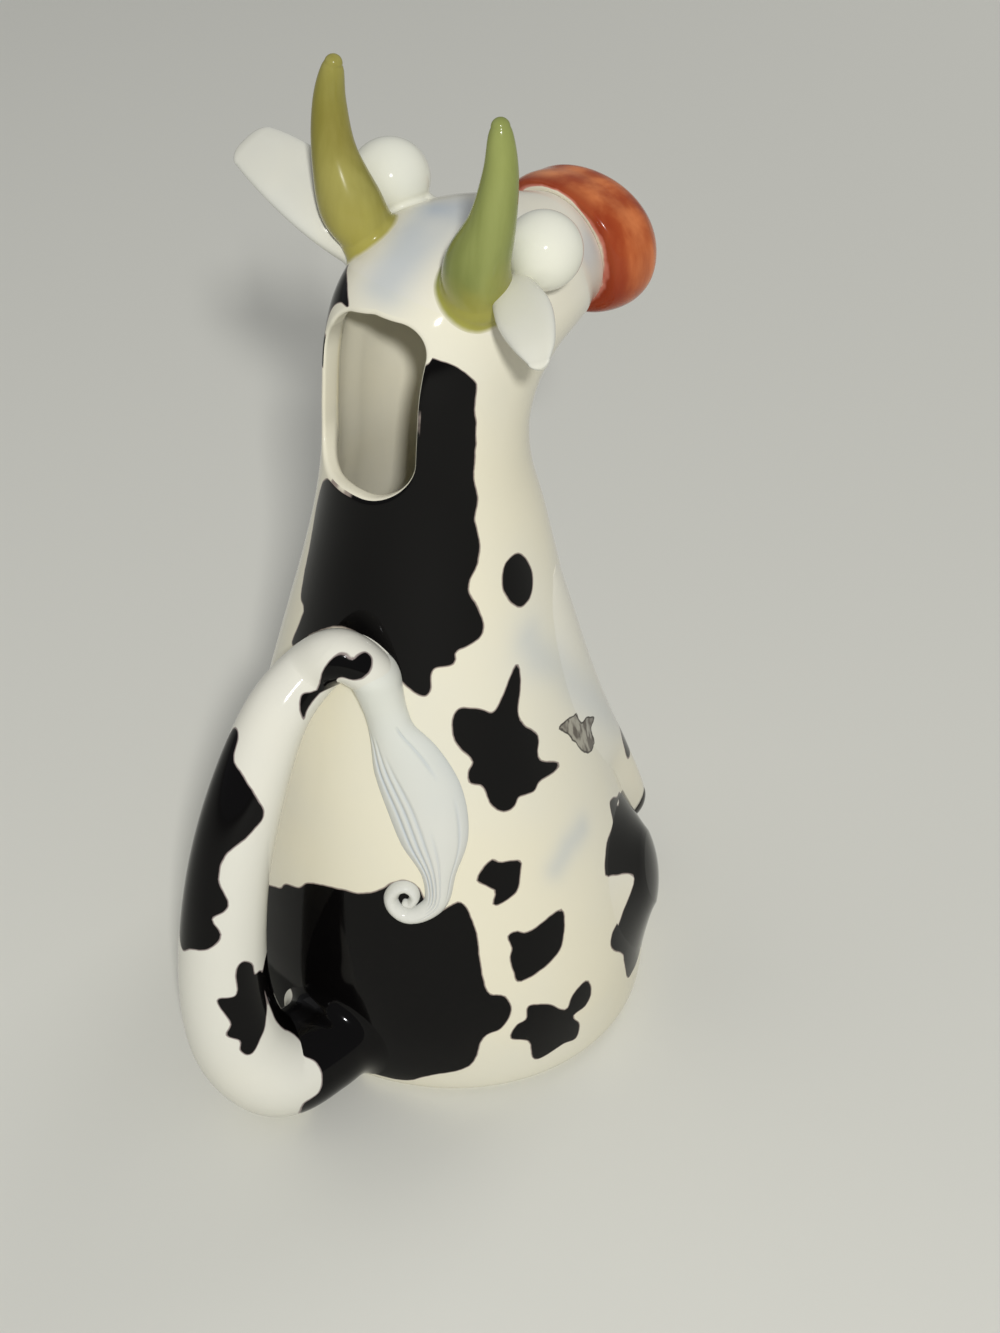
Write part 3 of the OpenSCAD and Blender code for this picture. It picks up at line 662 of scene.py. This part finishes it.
muzzle_glaze, wire = open_glaze("muzzle_glaze", 0.16, 0.06)
streak = wire.clouds(170.0, 4.0, (1.0, 1.0, 0.22))
colour = (streak.rise(0.30, 0.70).blend((158, 70, 36), (214, 128, 76))
          .coat(wire.clouds(60.0, 2.0, (1.0, 1.0, 0.5)).rise(0.50, 0.72) * 0.65, (224, 150, 96))
          .coat(wire.clouds(44.0, 2.0, (1.0, 1.0, 0.8)).rise(0.52, 0.78) * 0.7, (122, 42, 24))
          .coat((1 - wire.mark("brushed").rise(0.3, 8.0)) * 0.8, (134, 46, 24)))
edge = wire.ragged("brushed", 240.0, 0.8)
colour = edge.rise(-0.12, 0.14).blend((192, 116, 98), colour)
colour = edge.rise(-0.4, -0.10).blend((226, 220, 200), colour)
# painted shade: the nostrils are painted dark brown, darkest where they are pressed deepest
colour = colour.coat(wire.mark("pressed") * 0.8, (52, 20, 14))
close_glaze(colour, streak * 0.5 + wire.clouds(75.0, 2.0) * 0.5, 0.0003)
points, quads, fans = shell(rings, loop=True)
r = between_rows(muzzle_rows, place[:, 0])[:, 0] * 1000
brushed = np.where(place[:, 0] < 9, r * 2.2 - 0.27, (10.6 - place[:, 0]) * 2.0)
fire("snout", points, quads, fans, ["muzzle"], muzzle_glaze,
     {"brushed": np.repeat(brushed, muzzle_columns), "pressed": press})

# ---- eyes
# Two balls of clay stuck on the brow. Each is luted: the joint is smoothed with slip into a
# small hollow curve.

eye_lift, eye_row, eye_turn, eye_fillet, pupil_turn = 0.0065, 16.5, 46.4, 0.0016, 0.36


def over(row, turn, rise):
    """The point at a height over the skin, straight out from the middle of its row, and that
    way out."""
    r = between_rows(skin_rows, row)
    p = skin(row, turn)
    out = unit(p - (0.0, (r[0] + r[2]) / 2, (r[1] + r[3]) / 2))
    return p + rise * out, out


def lute(rings, fillet, row, turn, kept=60):
    """Joins a limb to the skin. The last ring lies deepest. Each column of points is cut at A,
    where it comes down to the fillet's height over the skin, and a curve leads out on to the
    skin: (1-q)^2 A + 2q(1-q) B + q^2 C, B being where the column would meet the skin and C
    the skin a fillet further out. Gives the rings, each point's place along its column, and
    its share of the way down the fillet, with 0 and 1 for the two end points."""
    rings = np.asarray(rings)
    n, c = rings.shape[:2]
    height = foot_on_skin(rings, row, turn)[3]

    def reach(level):
        """Each column's last place at a height over the skin, between two rings."""
        i = np.clip(n - 1 - np.argmax((height > level)[::-1], 0), 0, n - 2)
        h, g = height[i, np.arange(c)], height[i + 1, np.arange(c)]
        return i + np.clip((h - level) / (h - g + 1e-12), 0, 1)

    def along(place):
        """Points at places along the columns, straight between two rings."""
        i = np.clip(np.floor(place), 0, n - 2).astype(int)
        s = (place - i)[..., None]
        return rings[i, np.arange(c)] * (1 - s) + rings[i + 1, np.arange(c)] * s

    top, low = reach(fillet), reach(0.0)
    place = np.linspace(0, 1, kept)[:, None] * top
    a, b = along(top), along(low)
    row, turn, out, _ = foot_on_skin(b, row, turn)
    away = unit(np.cross(np.roll(b, -1, 0) - np.roll(b, 1, 0), out), 1e-12)
    away *= np.sign(((b - b.mean(0)) * away).sum())
    q = np.linspace(0, 1, 11)[1:, None, None]
    edge = b + away * fillet
    row, turn, out, height = foot_on_skin(edge, row, turn)
    edge = edge - out * (height[:, None] + 0.0001)
    curve = (1 - q) ** 2 * a + 2 * q * (1 - q) * b + q * q * edge
    place = np.concatenate([place, top + (low - top) * q[..., 0]])
    rings = np.concatenate([along(place[:kept]), curve])
    rings[..., 2] = np.maximum(rings[..., 2], 0)
    foot = np.clip((place - top) / (low - top + 1e-9), 0, 1)
    return rings, place, np.append(foot, [0, 1])


def ball(middle, out, radii, angles, columns):
    """Rings of a ball or egg about its middle, from its outer pole in; radii is a 3 x 3 matrix
    that shapes a ball of radius 1."""
    aside = unit(np.cross(out, [0.0, 0.0, 1.0]))
    a = np.radians(angles)[:, None, None]
    t = np.radians(np.arange(columns) * 360 / columns)[:, None]
    way = np.cos(a) * out + np.sin(a) * (np.cos(t) * aside + np.sin(t) * np.cross(aside, out))
    return middle + way @ np.asarray(radii).T


eye_glaze, wire = open_glaze("eye_glaze", 0.10, 0.2)
# painted shade: a darker grey down each eye's foot, where it is luted to the brow; the pupils are
# painted black
colour = (wire.clouds(60.0).rise(0.3, 0.7).blend((226, 225, 208), (222, 222, 208))
          .coat(wire.mark("foot") * 0.35, (196, 194, 182))
          .coat(wire.ragged("pupil", 300.0, 0.25).rise(-0.06, 0.10), (14, 13, 14)))
close_glaze(colour, wire.clouds(110.0, 2.0), 0.0002)
for side, name, eye_r in ((1, "left", 0.0071), (-1, "right", 0.0066)):
    middle, out = over(eye_row, side * eye_turn, eye_lift)
    rings = ball(middle, out, np.eye(3) * eye_r, np.linspace(2, 165, 90), 96)
    rings, _, foot = lute(rings, eye_fillet, eye_row, side * eye_turn)
    points, quads, fans = shell(rings, (middle + out * eye_r, middle - out * eye_r * 1.15))
    look = unit(np.array([side * 0.42, -0.86, -0.10]))
    pupil = ((points - middle) @ look / eye_r - np.cos(pupil_turn)) * 22
    fire("eyeball_" + name, points, quads, fans, ["eye_" + name], eye_glaze,
         {"pupil": pupil, "foot": foot})

# ---- horns
# Two curved cones luted on the crown, brushed with olive that is streaky up the horn and
# thins to the white at the root.

horn_r, horn_row, horn_turn, horn_fillet = 0.0062, 15.0, 42.5, 0.0016
limb_columns, cap_rings = 96, 12
limb_turns = np.arange(limb_columns) * 360 / limb_columns

# place as shares of the height, and thickness
horn_rows = np.array([
    (-0.03, -0.05, -0.02, 0.94), (0.025, -0.015, 0.09, 0.97), (0.085, 0.04, 0.25, 0.87),
    (0.18, 0.05, 0.50, 0.62), (0.215, 0.04, 0.75, 0.46), (0.20, 0.028, 0.93, 0.32),
    (0.185, 0.020, 1.00, 0.15)])


def limb(rows, facing, place, turn):
    """A point round a limb. rows holds x, y, z, half thickness, half width and bow, and the
    section stands square to the limb's way: first * (thick cos + bow sin^2) + second * wide
    sin, where first is facing made square to the way."""
    r = between_rows(rows, place)
    way = unit((between_rows(rows, place + 0.02) - between_rows(rows, place - 0.02))[..., :3])
    first = unit(facing - (way * facing).sum(-1, keepdims=True) * way)
    c, s = np.cos(np.radians(turn))[:, None], np.sin(np.radians(turn))[:, None]
    return (r[:, None, :3] + first[:, None] * (r[:, None, 3:4] * c + r[:, None, 5:6] * s * s)
            + np.cross(first, way)[:, None] * (r[:, None, 4:5] * s))


def round_end(rings, reach=None):
    """Closes the start of a limb in a round cap: middle + (ring - middle) cos q + way * r sin q,
    where r is the reach, or the ring's own radius. Gives the rings with the cap's, and the
    cap's pole."""
    middle, after = rings[0].mean(0), rings[1].mean(0)
    way = unit(middle - after)
    r = reach or np.linalg.norm(rings[0] - middle, axis=1).min()
    q = np.radians(np.linspace(84, 0, cap_rings, endpoint=False))[:, None, None]
    cap = middle + (rings[0] - middle) * np.cos(q) + way * r * np.sin(q)
    return np.concatenate([cap, rings]), middle + way * r


def rooted(rows, out, deep, thin=1.0):
    """The rows of a limb with one more under its root, inside the wall, and thinner there."""
    under = rows[0] * (1, 1, 1, thin, thin, thin)
    under[:3] -= out * deep
    return np.concatenate([[under], rows])


def olive(name, low, high, dark):
    """Horn glaze: brushed streaks up the horn, yellower spots at the root."""
    glaze, wire = open_glaze(name, 0.17, 0.1)
    streak = wire.clouds(170.0, 4.0, (1.0, 1.0, 0.16))
    yellow = wire.mark("root") * wire.clouds(70.0, 2.0).rise(0.42, 0.62) * 0.6
    colour = (streak.rise(0.28, 0.72).blend(low, high)
              .coat(wire.clouds(55.0, 2.0, (1.0, 1.0, 0.5)).rise(0.5, 0.8) * 0.55, dark)
              .coat(yellow, (176, 166, 74))
              .coat(wire.ragged("foot", 230.0, 0.3).rise(0.45, 0.95), (226, 221, 202)))
    close_glaze(colour, streak * 0.5 + wire.clouds(90.0, 2.0) * 0.4, 0.00025)
    return glaze


for side, name, height, foot_share, colours in (
        (1, "left", 0.032, 0.84, ((132, 126, 58), (160, 153, 84), (120, 104, 44))),
        (-1, "right", 0.0335, 0.97, ((120, 128, 66), (145, 152, 88), (106, 112, 52)))):
    root, out = over(horn_row, side * horn_turn, -horn_r / 6)
    thick = horn_rows[:, 3] * horn_r
    thick[:2] *= foot_share
    rows = np.column_stack([root + horn_rows[:, :3] * (side * height, height, height),
                            thick, thick, 0 * thick])
    rows = rooted(rows, out, 0.005, 0.5)
    rings = limb(rows, np.array([0.0, 1.0, 0.0]), np.linspace(6.45, 0, 120), limb_turns)
    rings, pole = round_end(rings)
    rings, _, foot = lute(rings, horn_fillet, horn_row, side * horn_turn, 110)
    points, quads, fans = shell(rings, (pole, rings[-1].mean(0) - out * 0.002))
    yellow_h = height * 0.36
    low = np.clip((root[2] + yellow_h - points[:, 2]) / yellow_h, 0, 1)
    fire("horn_olive_" + name, points, quads, fans, ["horn_" + name],
         olive("horn_glaze_" + name, *colours), {"root": low, "foot": foot})

# ---- ears
# Two leaves of clay, dished on the side that faces forward, luted behind the eyes. The left
# one stands out and the right one droops.

ear_w, ear_t, ear_dish, ear_fillet = 0.006, 0.0026, 0.55, 0.0012
sides = (1, "left"), (-1, "right")

# length, row and turn of the root, then place as shares of the length, width and thickness, and
# the row where the tip's round cap starts and its reach
ear_rows = {
    "left": (0.0335, 14.95, 54.0, [(0.00, -0.02, -0.05, 0.60, 1.2), (0.19, 0.06, 0.15, 1.00, 1.1),
                                   (0.46, 0.07, 0.26, 1.04, 0.9), (0.74, 0.06, 0.31, 0.80, 0.7),
                                   (0.91, 0.055, 0.31, 0.40, 0.35)], 4.05, 0.0031),
    "right": (0.025, 15.55, 56.0, [(0.02, -0.04, -0.02, 0.42, 1.2), (0.17, 0.12, 0.075, 0.60, 1.1),
                                   (0.41, 0.27, 0.055, 0.78, 0.9), (0.63, 0.41, 0.00, 0.58, 0.7),
                                   (0.77, 0.51, -0.065, 0.20, 0.3)], 4.75, 0.0012),
}
ear_glaze, wire = open_glaze("ear_glaze", 0.13, 0.15)
colour = (wire.clouds(45.0).rise(0.3, 0.7).blend((217, 215, 199), (212, 211, 199))
          .coat(wire.mark("dish") * 0.8, (196, 176, 170))
          .coat(wire.mark("rim") * (wire.clouds(80.0, 2.0) + 0.3) * 0.5, (196, 199, 196)))
close_glaze(colour, wire.clouds(110.0, 2.0), 0.0002)
for side, name in sides:
    length, row, turn, shares, tip, tip_reach = ear_rows[name]
    shares = np.array(shares)
    root, out = over(row, side * turn, -ear_t / 2)
    rows = np.column_stack([root + shares[:, :3] * (side * length, length, length),
                            shares[:, 4] * ear_t, shares[:, 3] * ear_w,
                            np.full(len(shares), ear_t * 0.3)])
    rows = rooted(rows, out, 0.004)
    ear_place = np.linspace(tip, 0, 110)
    rings = limb(rows, np.array([0.0, 0.5, 1.0]), ear_place, limb_turns)
    # the dish: the lower face comes up towards the upper one along the middle of the leaf
    under = np.clip(-np.cos(np.radians(limb_turns)), 0, 1) ** 2
    leaf = np.clip(np.sin(np.pi * np.clip((ear_place - 1.2) / 3.6, 0, 1)), 0, 1) ** 0.7
    dish = leaf[:, None] * under
    upper = rings[:, (limb_columns // 2 - np.arange(limb_columns)) % limb_columns]
    rings = rings + (upper - rings) * (dish * ear_dish)[..., None]
    rings, pole = round_end(rings, tip_reach)
    dish = np.concatenate([np.zeros((cap_rings, limb_columns)), dish])
    luted, place, _ = lute(rings, ear_fillet, row, side * turn, 100)
    i = np.clip(np.rint(place), 0, len(rings) - 1).astype(int)
    dish = dish[i, np.arange(limb_columns)] * (place < place[99])
    points, quads, fans = shell(luted, (pole, luted[-1].mean(0) - out * 0.001))
    rim = np.abs(np.sin(np.radians(limb_turns))) ** 8
    rim = rim * np.clip(1 - place / len(rings), 0, 1) ** 0.5
    fire("ear_leaf_" + name, points, quads, fans, ["ear_" + name], ear_glaze,
         {"dish": np.append(dish, [0, 0]), "rim": np.append(rim, [0, 0])})

# ---- tail handle
# The tail is a rolled coil of clay bent into the handle: from the rump round to the table, up
# in an arch and back to the loin, luted at both ends.

tail_r, tail_reach, tail_h, loin_fillet, rump_fillet = 0.0102, 0.065, 0.102, 0.0006, 0.0036
tail_foot_z, loin_place, rump_place = 1.03 * tail_r, (8.0, -26.0), (1.2, -14.0)
tail_rows = np.array([
    (-1.08, 0.615, 0.011, 0.92), (-1.03, 0.785, 0.005, 0.98), (-0.83, 0.923, 0.009, 1.00),
    (-0.39, 0.998, 0.107, 0.95), (-0.10, 1.003, 0.281, 0.85), (0.00, 0.951, 0.510, 0.765),
    (0.00, 0.862, 0.706, 0.69), (0.00, 0.735, 0.869, 0.59), (-0.118, 0.615, 0.945, 0.525),
    (-0.608, 0.572, 1.000, 0.48), (-1.02, 0.523, 0.968, 0.43), (-1.09, 0.486, 0.913, 0.35),
    (-1.235, 0.474, 0.852, 0.26), (-1.50, 0.435, 0.790, 0.20)])
rows = np.column_stack([
    tail_rows[:, :3] * (tail_r, tail_reach, tail_h - tail_foot_z) + (0, 0, tail_foot_z),
    tail_rows[:, 3] * tail_r, tail_rows[:, 3] * tail_r, 0 * tail_rows[:, 3]])

# outlines of the black patches: row of the tail, degrees round it
tail_patches = [
    [(6.73, 284), (6.5, 270), (6.4, 246), (6.1, 198), (5.88, 208), (5.68, 230), (5.58, 238),
     (5.33, 240), (5.1, 222), (5, 224), (4.9, 240), (4.75, 226), (4.6, 242), (4.53, 266),
     (4.45, 290), (4.7, 318), (5.2, 330), (5.8, 322), (6.3, 326), (6.7, 308)],
    [(4.45, 194), (4.38, 180), (4.25, 176), (4.2, 162), (3.75, 160), (3.48, 174), (3.23, 198),
     (3.33, 210), (3.48, 208), (3.6, 222), (3.75, 214), (3.98, 226), (4.08, 226), (4.1, 204),
     (4.38, 202)],
    [(7.58, 215), (7.8, 205), (8.08, 203), (8.5, 220), (8.81, 229), (9.02, 223), (9.16, 210),
     (9.27, 194), (9.35, 189), (9.42, 203), (9.5, 211), (9.62, 204), (9.7, 188), (9.72, 172),
     (9.68, 152), (9.5, 138), (9.15, 150), (8.4, 190), (7.75, 188), (7.4, 188), (7.25, 181),
     (7.36, 203)],
    [(4.12, 162), (3.73, 155), (3.3, 149), (2.55, 130), (1.7, 128), (1.4, 142), (1.5, 172),
     (1.8, 188), (1.75, 215), (1.5, 240), (1.0, 262), (0.2, 285), (-0.8, 290), (-0.8, 50),
     (1.5, 45), (2.5, 56), (3.4, 80), (4.0, 108), (4.3, 140)],
    [(6.2, 60), (5.9, 44), (5.6, 50), (5.3, 38), (5.05, 62), (5.2, 88), (5.5, 100), (5.9, 92),
     (6.25, 84)],
]
tail_patches = [outline(p) for p in tail_patches]

tail_turns, tail_mid, tail_top, tail_low = np.arange(120) * 3.0, 4.5, 13.0, -0.5
facing = np.array([1.0, 0.0, 0.0])
top = limb(rows, facing, np.linspace(tail_mid, tail_top, 360), tail_turns)
low = limb(rows, facing, np.linspace(tail_mid, tail_low, 240), tail_turns)
tops, lows = len(top) - 1, len(low) - 1
top, top_place, _ = lute(top, loin_fillet, *loin_place, 160)
low, low_place, _ = lute(low, rump_fillet, *rump_place, 110)
tail_place = np.concatenate([tail_mid + (low_place / lows * (tail_low - tail_mid))[::-1],
                             tail_mid + top_place[1:] / tops * (tail_top - tail_mid)])
rings = np.concatenate([low[::-1], top[1:]])
points, quads, fans = shell(rings, (low[-1].mean(0) - (0, 0.002, 0),
                                    top[-1].mean(0) - (0, 0.003, 0)))
row_step = (between_rows(rows, tail_place + 0.05) - between_rows(rows, tail_place - 0.05)) * 10
black = depth_in(tail_patches, tail_place, np.broadcast_to(tail_turns, tail_place.shape),
                 np.linalg.norm(row_step[..., :3], axis=-1),
                 np.radians(1) * between_rows(rows, tail_place)[..., 3])
tail_glaze = white_glaze("tail_glaze", (224, 221, 206), (220, 218, 205))
fire("tail_coil", points, quads, fans, ["tail_handle"], tail_glaze,
     {"black": np.append(black, [outside, outside])})

# ---- tuft of the tail
# A flat lock of clay pressed on the flank, its hairs drawn with a modelling tool, with a
# curled tip, and grey-blue painted into the grooves as painted shade.

tuft_w, tuft_rise = 0.008, 0.0022
tuft_rows = np.array([
    (8.54, -19.6, 0.46, 2.7), (8.45, -22.3, 0.56, 3.02), (8.35, -24.6, 0.57, 2.85),
    (8.20, -26.3, 0.54, 2.42), (8.02, -28.0, 0.51, 1.95), (7.84, -29.8, 0.50, 1.58),
    (7.60, -32.2, 0.56, 1.33), (7.20, -37.6, 0.83, 1.14), (6.65, -43.8, 0.93, 1.0),
    (6.05, -46.8, 0.80, 1.0), (5.55, -47.2, 0.42, 0.95), (5.15, -46.0, 0.30, 0.9),
    (4.95, -42.0, 0.25, 0.85), (4.88, -37.3, 0.22, 0.85), (4.97, -33.8, 0.20, 0.8),
    (5.13, -32.6, 0.18, 0.8), (5.28, -34.2, 0.17, 0.8), (5.34, -36.9, 0.16, 0.8),
    (5.29, -39.0, 0.15, 0.8), (5.18, -39.6, 0.13, 0.75), (5.08, -38.3, 0.12, 0.7),
    (5.08, -36.8, 0.11, 0.6)]) * (1, 1, tuft_w, tuft_rise)


def relief(rows, place, across, shape):
    """Rings of a member that lies on the skin. rows holds row, turn, half width and rise of its
    middle line; across goes round the section in degrees, from -90 to 90 over its top and on
    under it. shape(place, v) is the share of the rise at v, the share of the half width."""
    r = between_rows(rows, place)
    way = between_rows(rows, place + 0.02) - between_rows(rows, place - 0.02)
    p, up, round_, out = skin_slopes(r[:, 0], r[:, 1])
    way = unit(way[:, :1] * up + way[:, 1:2] * round_)
    side = np.cross(out, way)
    v, top = np.sin(np.radians(across)), np.cos(np.radians(across))
    flat = p[:, None] + side[:, None] * (r[:, 2:3] * v)[..., None]
    row, turn, out, height = foot_on_skin(flat, r[:, :1], r[:, 1:2])
    rise = np.where(top >= 0, r[:, 3:4] * shape(place[:, None], v[None]), top * 0.0004) - 0.00005
    return flat + out * (rise - height)[..., None], row, turn


# drawn hairs: where each starts and ends across the lock and along it, and its depth
hairs = [(-0.80, -0.62, 5.5, 11.5, 0.22), (-0.60, -0.40, 5.8, 11.8, 0.20),
         (-0.40, -0.15, 6.5, 12, 0.15), (-0.05, 0.15, 8.5, 12.5, 0.10),
         (0.45, 0.55, 5.4, 7.6, 0.12), (0.72, 0.60, 8.0, 11.0, 0.10)]


def hair_lines(place, v):
    """How deep the drawn hairs go: a narrow bell across each line, faded at its two ends."""
    deep = np.zeros(np.broadcast(place, v).shape)
    for v_start, v_end, start, end, depth in hairs:
        s = np.clip((place - start) / (end - start), 0, 1)
        bell = np.exp(-((v - v_start - (v_end - v_start) * s) / 0.045) ** 2)
        deep = deep + depth * np.clip(4 * s * (1 - s) * 1.5, 0, 1) * bell
    return deep


def lock(place, v):
    """A rounded lock that starts as round as the tail: (1 - v^2)^e, less the drawn hairs."""
    e = 0.5 + 0.2 * np.clip((place - 5) / 3, 0, 1)
    return np.clip(1 - v * v, 0, 1) ** e * (1 - hair_lines(place, v))


across = np.concatenate([np.linspace(-90, 90, 121), np.linspace(90, 270, 13)[1:-1]])
tuft_place = np.linspace(0, 21, 480)
rings, row, turn = relief(tuft_rows, tuft_place, across, lock)
rings, pole = round_end(rings[::-1])
points, quads, fans = shell(rings, (pole, rings[-1].mean(0)))
v, along = np.sin(np.radians(across)), tuft_place[::-1, None]
# painted shade: grey-blue in the grooves of the drawn hairs, with a cool tint that grows along the
# lock and is twice as strong at its edges
cool = 0.14 * np.clip((along - 4) / 4, 0, 1) * (1 + np.abs(v) ** 6)
blue = np.clip(hair_lines(along, v) * 2.0 + cool, 0, 1)
blue = np.concatenate([np.repeat(blue[:1], cap_rings, 0), blue])
tuft_glaze = white_glaze("tuft_glaze", (222, 220, 207), (217, 218, 207))
fire("tail_lock", points, quads, fans, ["tail_tuft"], tuft_glaze,
     {"black": np.full(len(points), outside), "blue": np.append(blue, [0.1, 0])})

# ---- forelegs and front hooves
# Low arms modelled on the chest, one down each side of the belly, that end in a cloven hoof
# luted over the haunch.

foreleg_w, foreleg_rise = 0.0116, 0.0044
foreleg_rows = np.array([
    (9.0, 122.5, 0.16, 0.04), (8.6, 124.5, 0.58, 0.14), (7.8, 128, 0.88, 0.28),
    (6.9, 132.5, 1.00, 0.42), (6.0, 138.5, 0.86, 0.62), (5.2, 143.8, 0.62, 0.82),
    (3.98, 149, 0.60, 1.06)])
front_hoof_r, front_hoof_row, front_hoof_turn, front_hoof_fillet = 0.0059, 3.84, 150.0, 0.0009
leg_glaze = white_glaze("leg_glaze", (228, 222, 200), (223, 220, 205))
hoof_glaze, wire = open_glaze("hoof_glaze", 0.13, 0.15)
# painted shade: the cleft between the toes is painted darker, darkest where it is deepest
colour = (wire.clouds(90.0, 3.0).rise(0.3, 0.7).blend((14, 12, 11), (34, 28, 24))
          .coat(wire.mark("cleft") * 0.7, (7, 6, 6)))
close_glaze(colour, wire.clouds(90.0, 2.0), 0.0003)


def soft(place, v):
    """A low arm whose sides run out smoothly: (1 - v^2)^1.3."""
    return np.clip(1 - v * v, 0, 1) ** 1.3


def hoof(node, middle, out, half, fillet, row, turn, heel):
    """A cloven hoof: an egg of half sizes half that points out, luted at a row and turn, with
    its last point a heel behind its middle. The cleft between the toes is a furrow on its front,
    deep along its middle plane and gone behind."""
    rings = ball(middle, out, np.diag(half), np.linspace(3, 150, 80), limb_columns)
    rings[..., 2] = np.maximum(rings[..., 2], 0)
    rings, _, _ = lute(rings, fillet, row, turn)
    d = rings - middle
    aside = np.cross(out, [0.0, 0.0, 1.0])
    deep = (np.exp(-((d @ aside) / (half[0] * 0.13)) ** 2)
            * np.clip(d @ out / half[0], 0, 1) ** 0.6)
    rings = rings - (deep * half[0] * 0.24)[..., None] * out
    points, quads, fans = shell(rings, (rings[0].mean(0), middle - out * heel))
    fire(node + "_toes", points, quads, fans, [node], hoof_glaze,
         {"cleft": np.append(deep, [1, 0])})


for side, name in sides:
    rows = foreleg_rows * (1, side, foreleg_w, foreleg_rise)
    rings, row, turn = relief(rows, np.linspace(0, 6, 160), across, soft)
    points, quads, fans = shell(rings)
    marks = {mark: np.append(values, [values[0], values[-1]])
             for mark, values in skin_marks(row, turn).items()}
    fire("foreleg_" + name + "_arm", points, quads, fans, ["foreleg_" + name],
         leg_glaze, marks)
    turn = side * front_hoof_turn
    middle, out = over(front_hoof_row, turn, -0.2 * front_hoof_r)
    hoof("front_hoof_" + name, middle, out, np.array([1.0, 1.05, 1.0]) * front_hoof_r,
         front_hoof_fillet, front_hoof_row, turn, front_hoof_r * 0.6)

# ---- haunches and hind hooves
# The seated thighs are two leaning eggs of clay against the belly, flat on the table, and a
# hind hoof peeps out in front of each.

thigh_w, thigh_len, thigh_h, thigh_fillet = 0.0165, 0.020, 0.028, 0.0030
hind_hoof_half, hind_hoof_fillet = np.array([0.0066, 0.0096, 0.0064]), 0.0010
hind_hoof_x, hind_hoof_y, hind_hoof_turn = belly_r * 0.228, -belly_r * 0.804, 15
thigh_place, thigh_foot, thigh_proud = np.array([3.23, 120.4]), np.array([3.2, 118.0]), 0.0023
lean = np.radians(20)
tilt = np.array([[1, 0, 0], [0, np.cos(lean), np.sin(lean)], [0, -np.sin(lean), np.cos(lean)]])

# outlines of the black patches on the haunches: how far forward and how high, in millimetres
haunch_patches = {
    "left": [[(2, 30), (-4, 35), (-9, 33), (-13, 34), (-15, 27), (-12, 20), (-6, 17), (-1, 21),
              (-2, 25)],
             [(-26, 37), (-21, 42), (-15, 46), (-12, 43), (-17, 38), (-19, 32), (-25, 31)]],
    "right": [[(-12.9, 48.3), (-17, 48.5), (-22, 46), (-26, 41), (-29, 35), (-29, 28), (-27, 21),
               (-24, 15), (-19, 10), (-13, 6), (-9.8, 9), (-7.8, 14.8), (1, 16.5), (1, 22),
               (-4.1, 28.6), (-10.6, 35.1), (-5.7, 39.2), (-2.2, 40.9), (3, 41.5), (3, 46),
               (0, 53), (-8, 56)]],
}
for side, name in sides:
    place, _ = over(*thigh_place * (1, side), thigh_proud - thigh_w)
    middle = np.array([place[0], place[1], thigh_h * 0.9])
    out = np.array([side * 0.87, -0.49, 0.0])
    shape = tilt @ np.diag([thigh_w, thigh_len, thigh_h])
    rings = ball(middle, out, shape, np.linspace(1, 140, 200), 180)
    rings[..., 2] = np.maximum(rings[..., 2], 0)
    rings, _, _ = lute(rings, thigh_fillet, *thigh_foot * (1, side), 130)
    points, quads, fans = shell(rings, (middle + out @ shape.T, rings[-1].mean(0) - out * 0.004))
    black = depth_in([outline(line) for line in haunch_patches[name]], points[:, 1] * 1000,
                     points[:, 2] * 1000, 0.001, 0.001)
    fire("haunch_" + name, points, quads, fans, ["thigh_" + name], leg_glaze,
         {"black": black})

    middle = np.array([side * hind_hoof_x, hind_hoof_y, hind_hoof_half[2] * 0.9])
    hoof("hind_hoof_" + name, middle, np.array([0.0, -1.0, 0.0]), hind_hoof_half,
         hind_hoof_fillet, 1.0, 180.0 - side * hind_hoof_turn, 0.004)
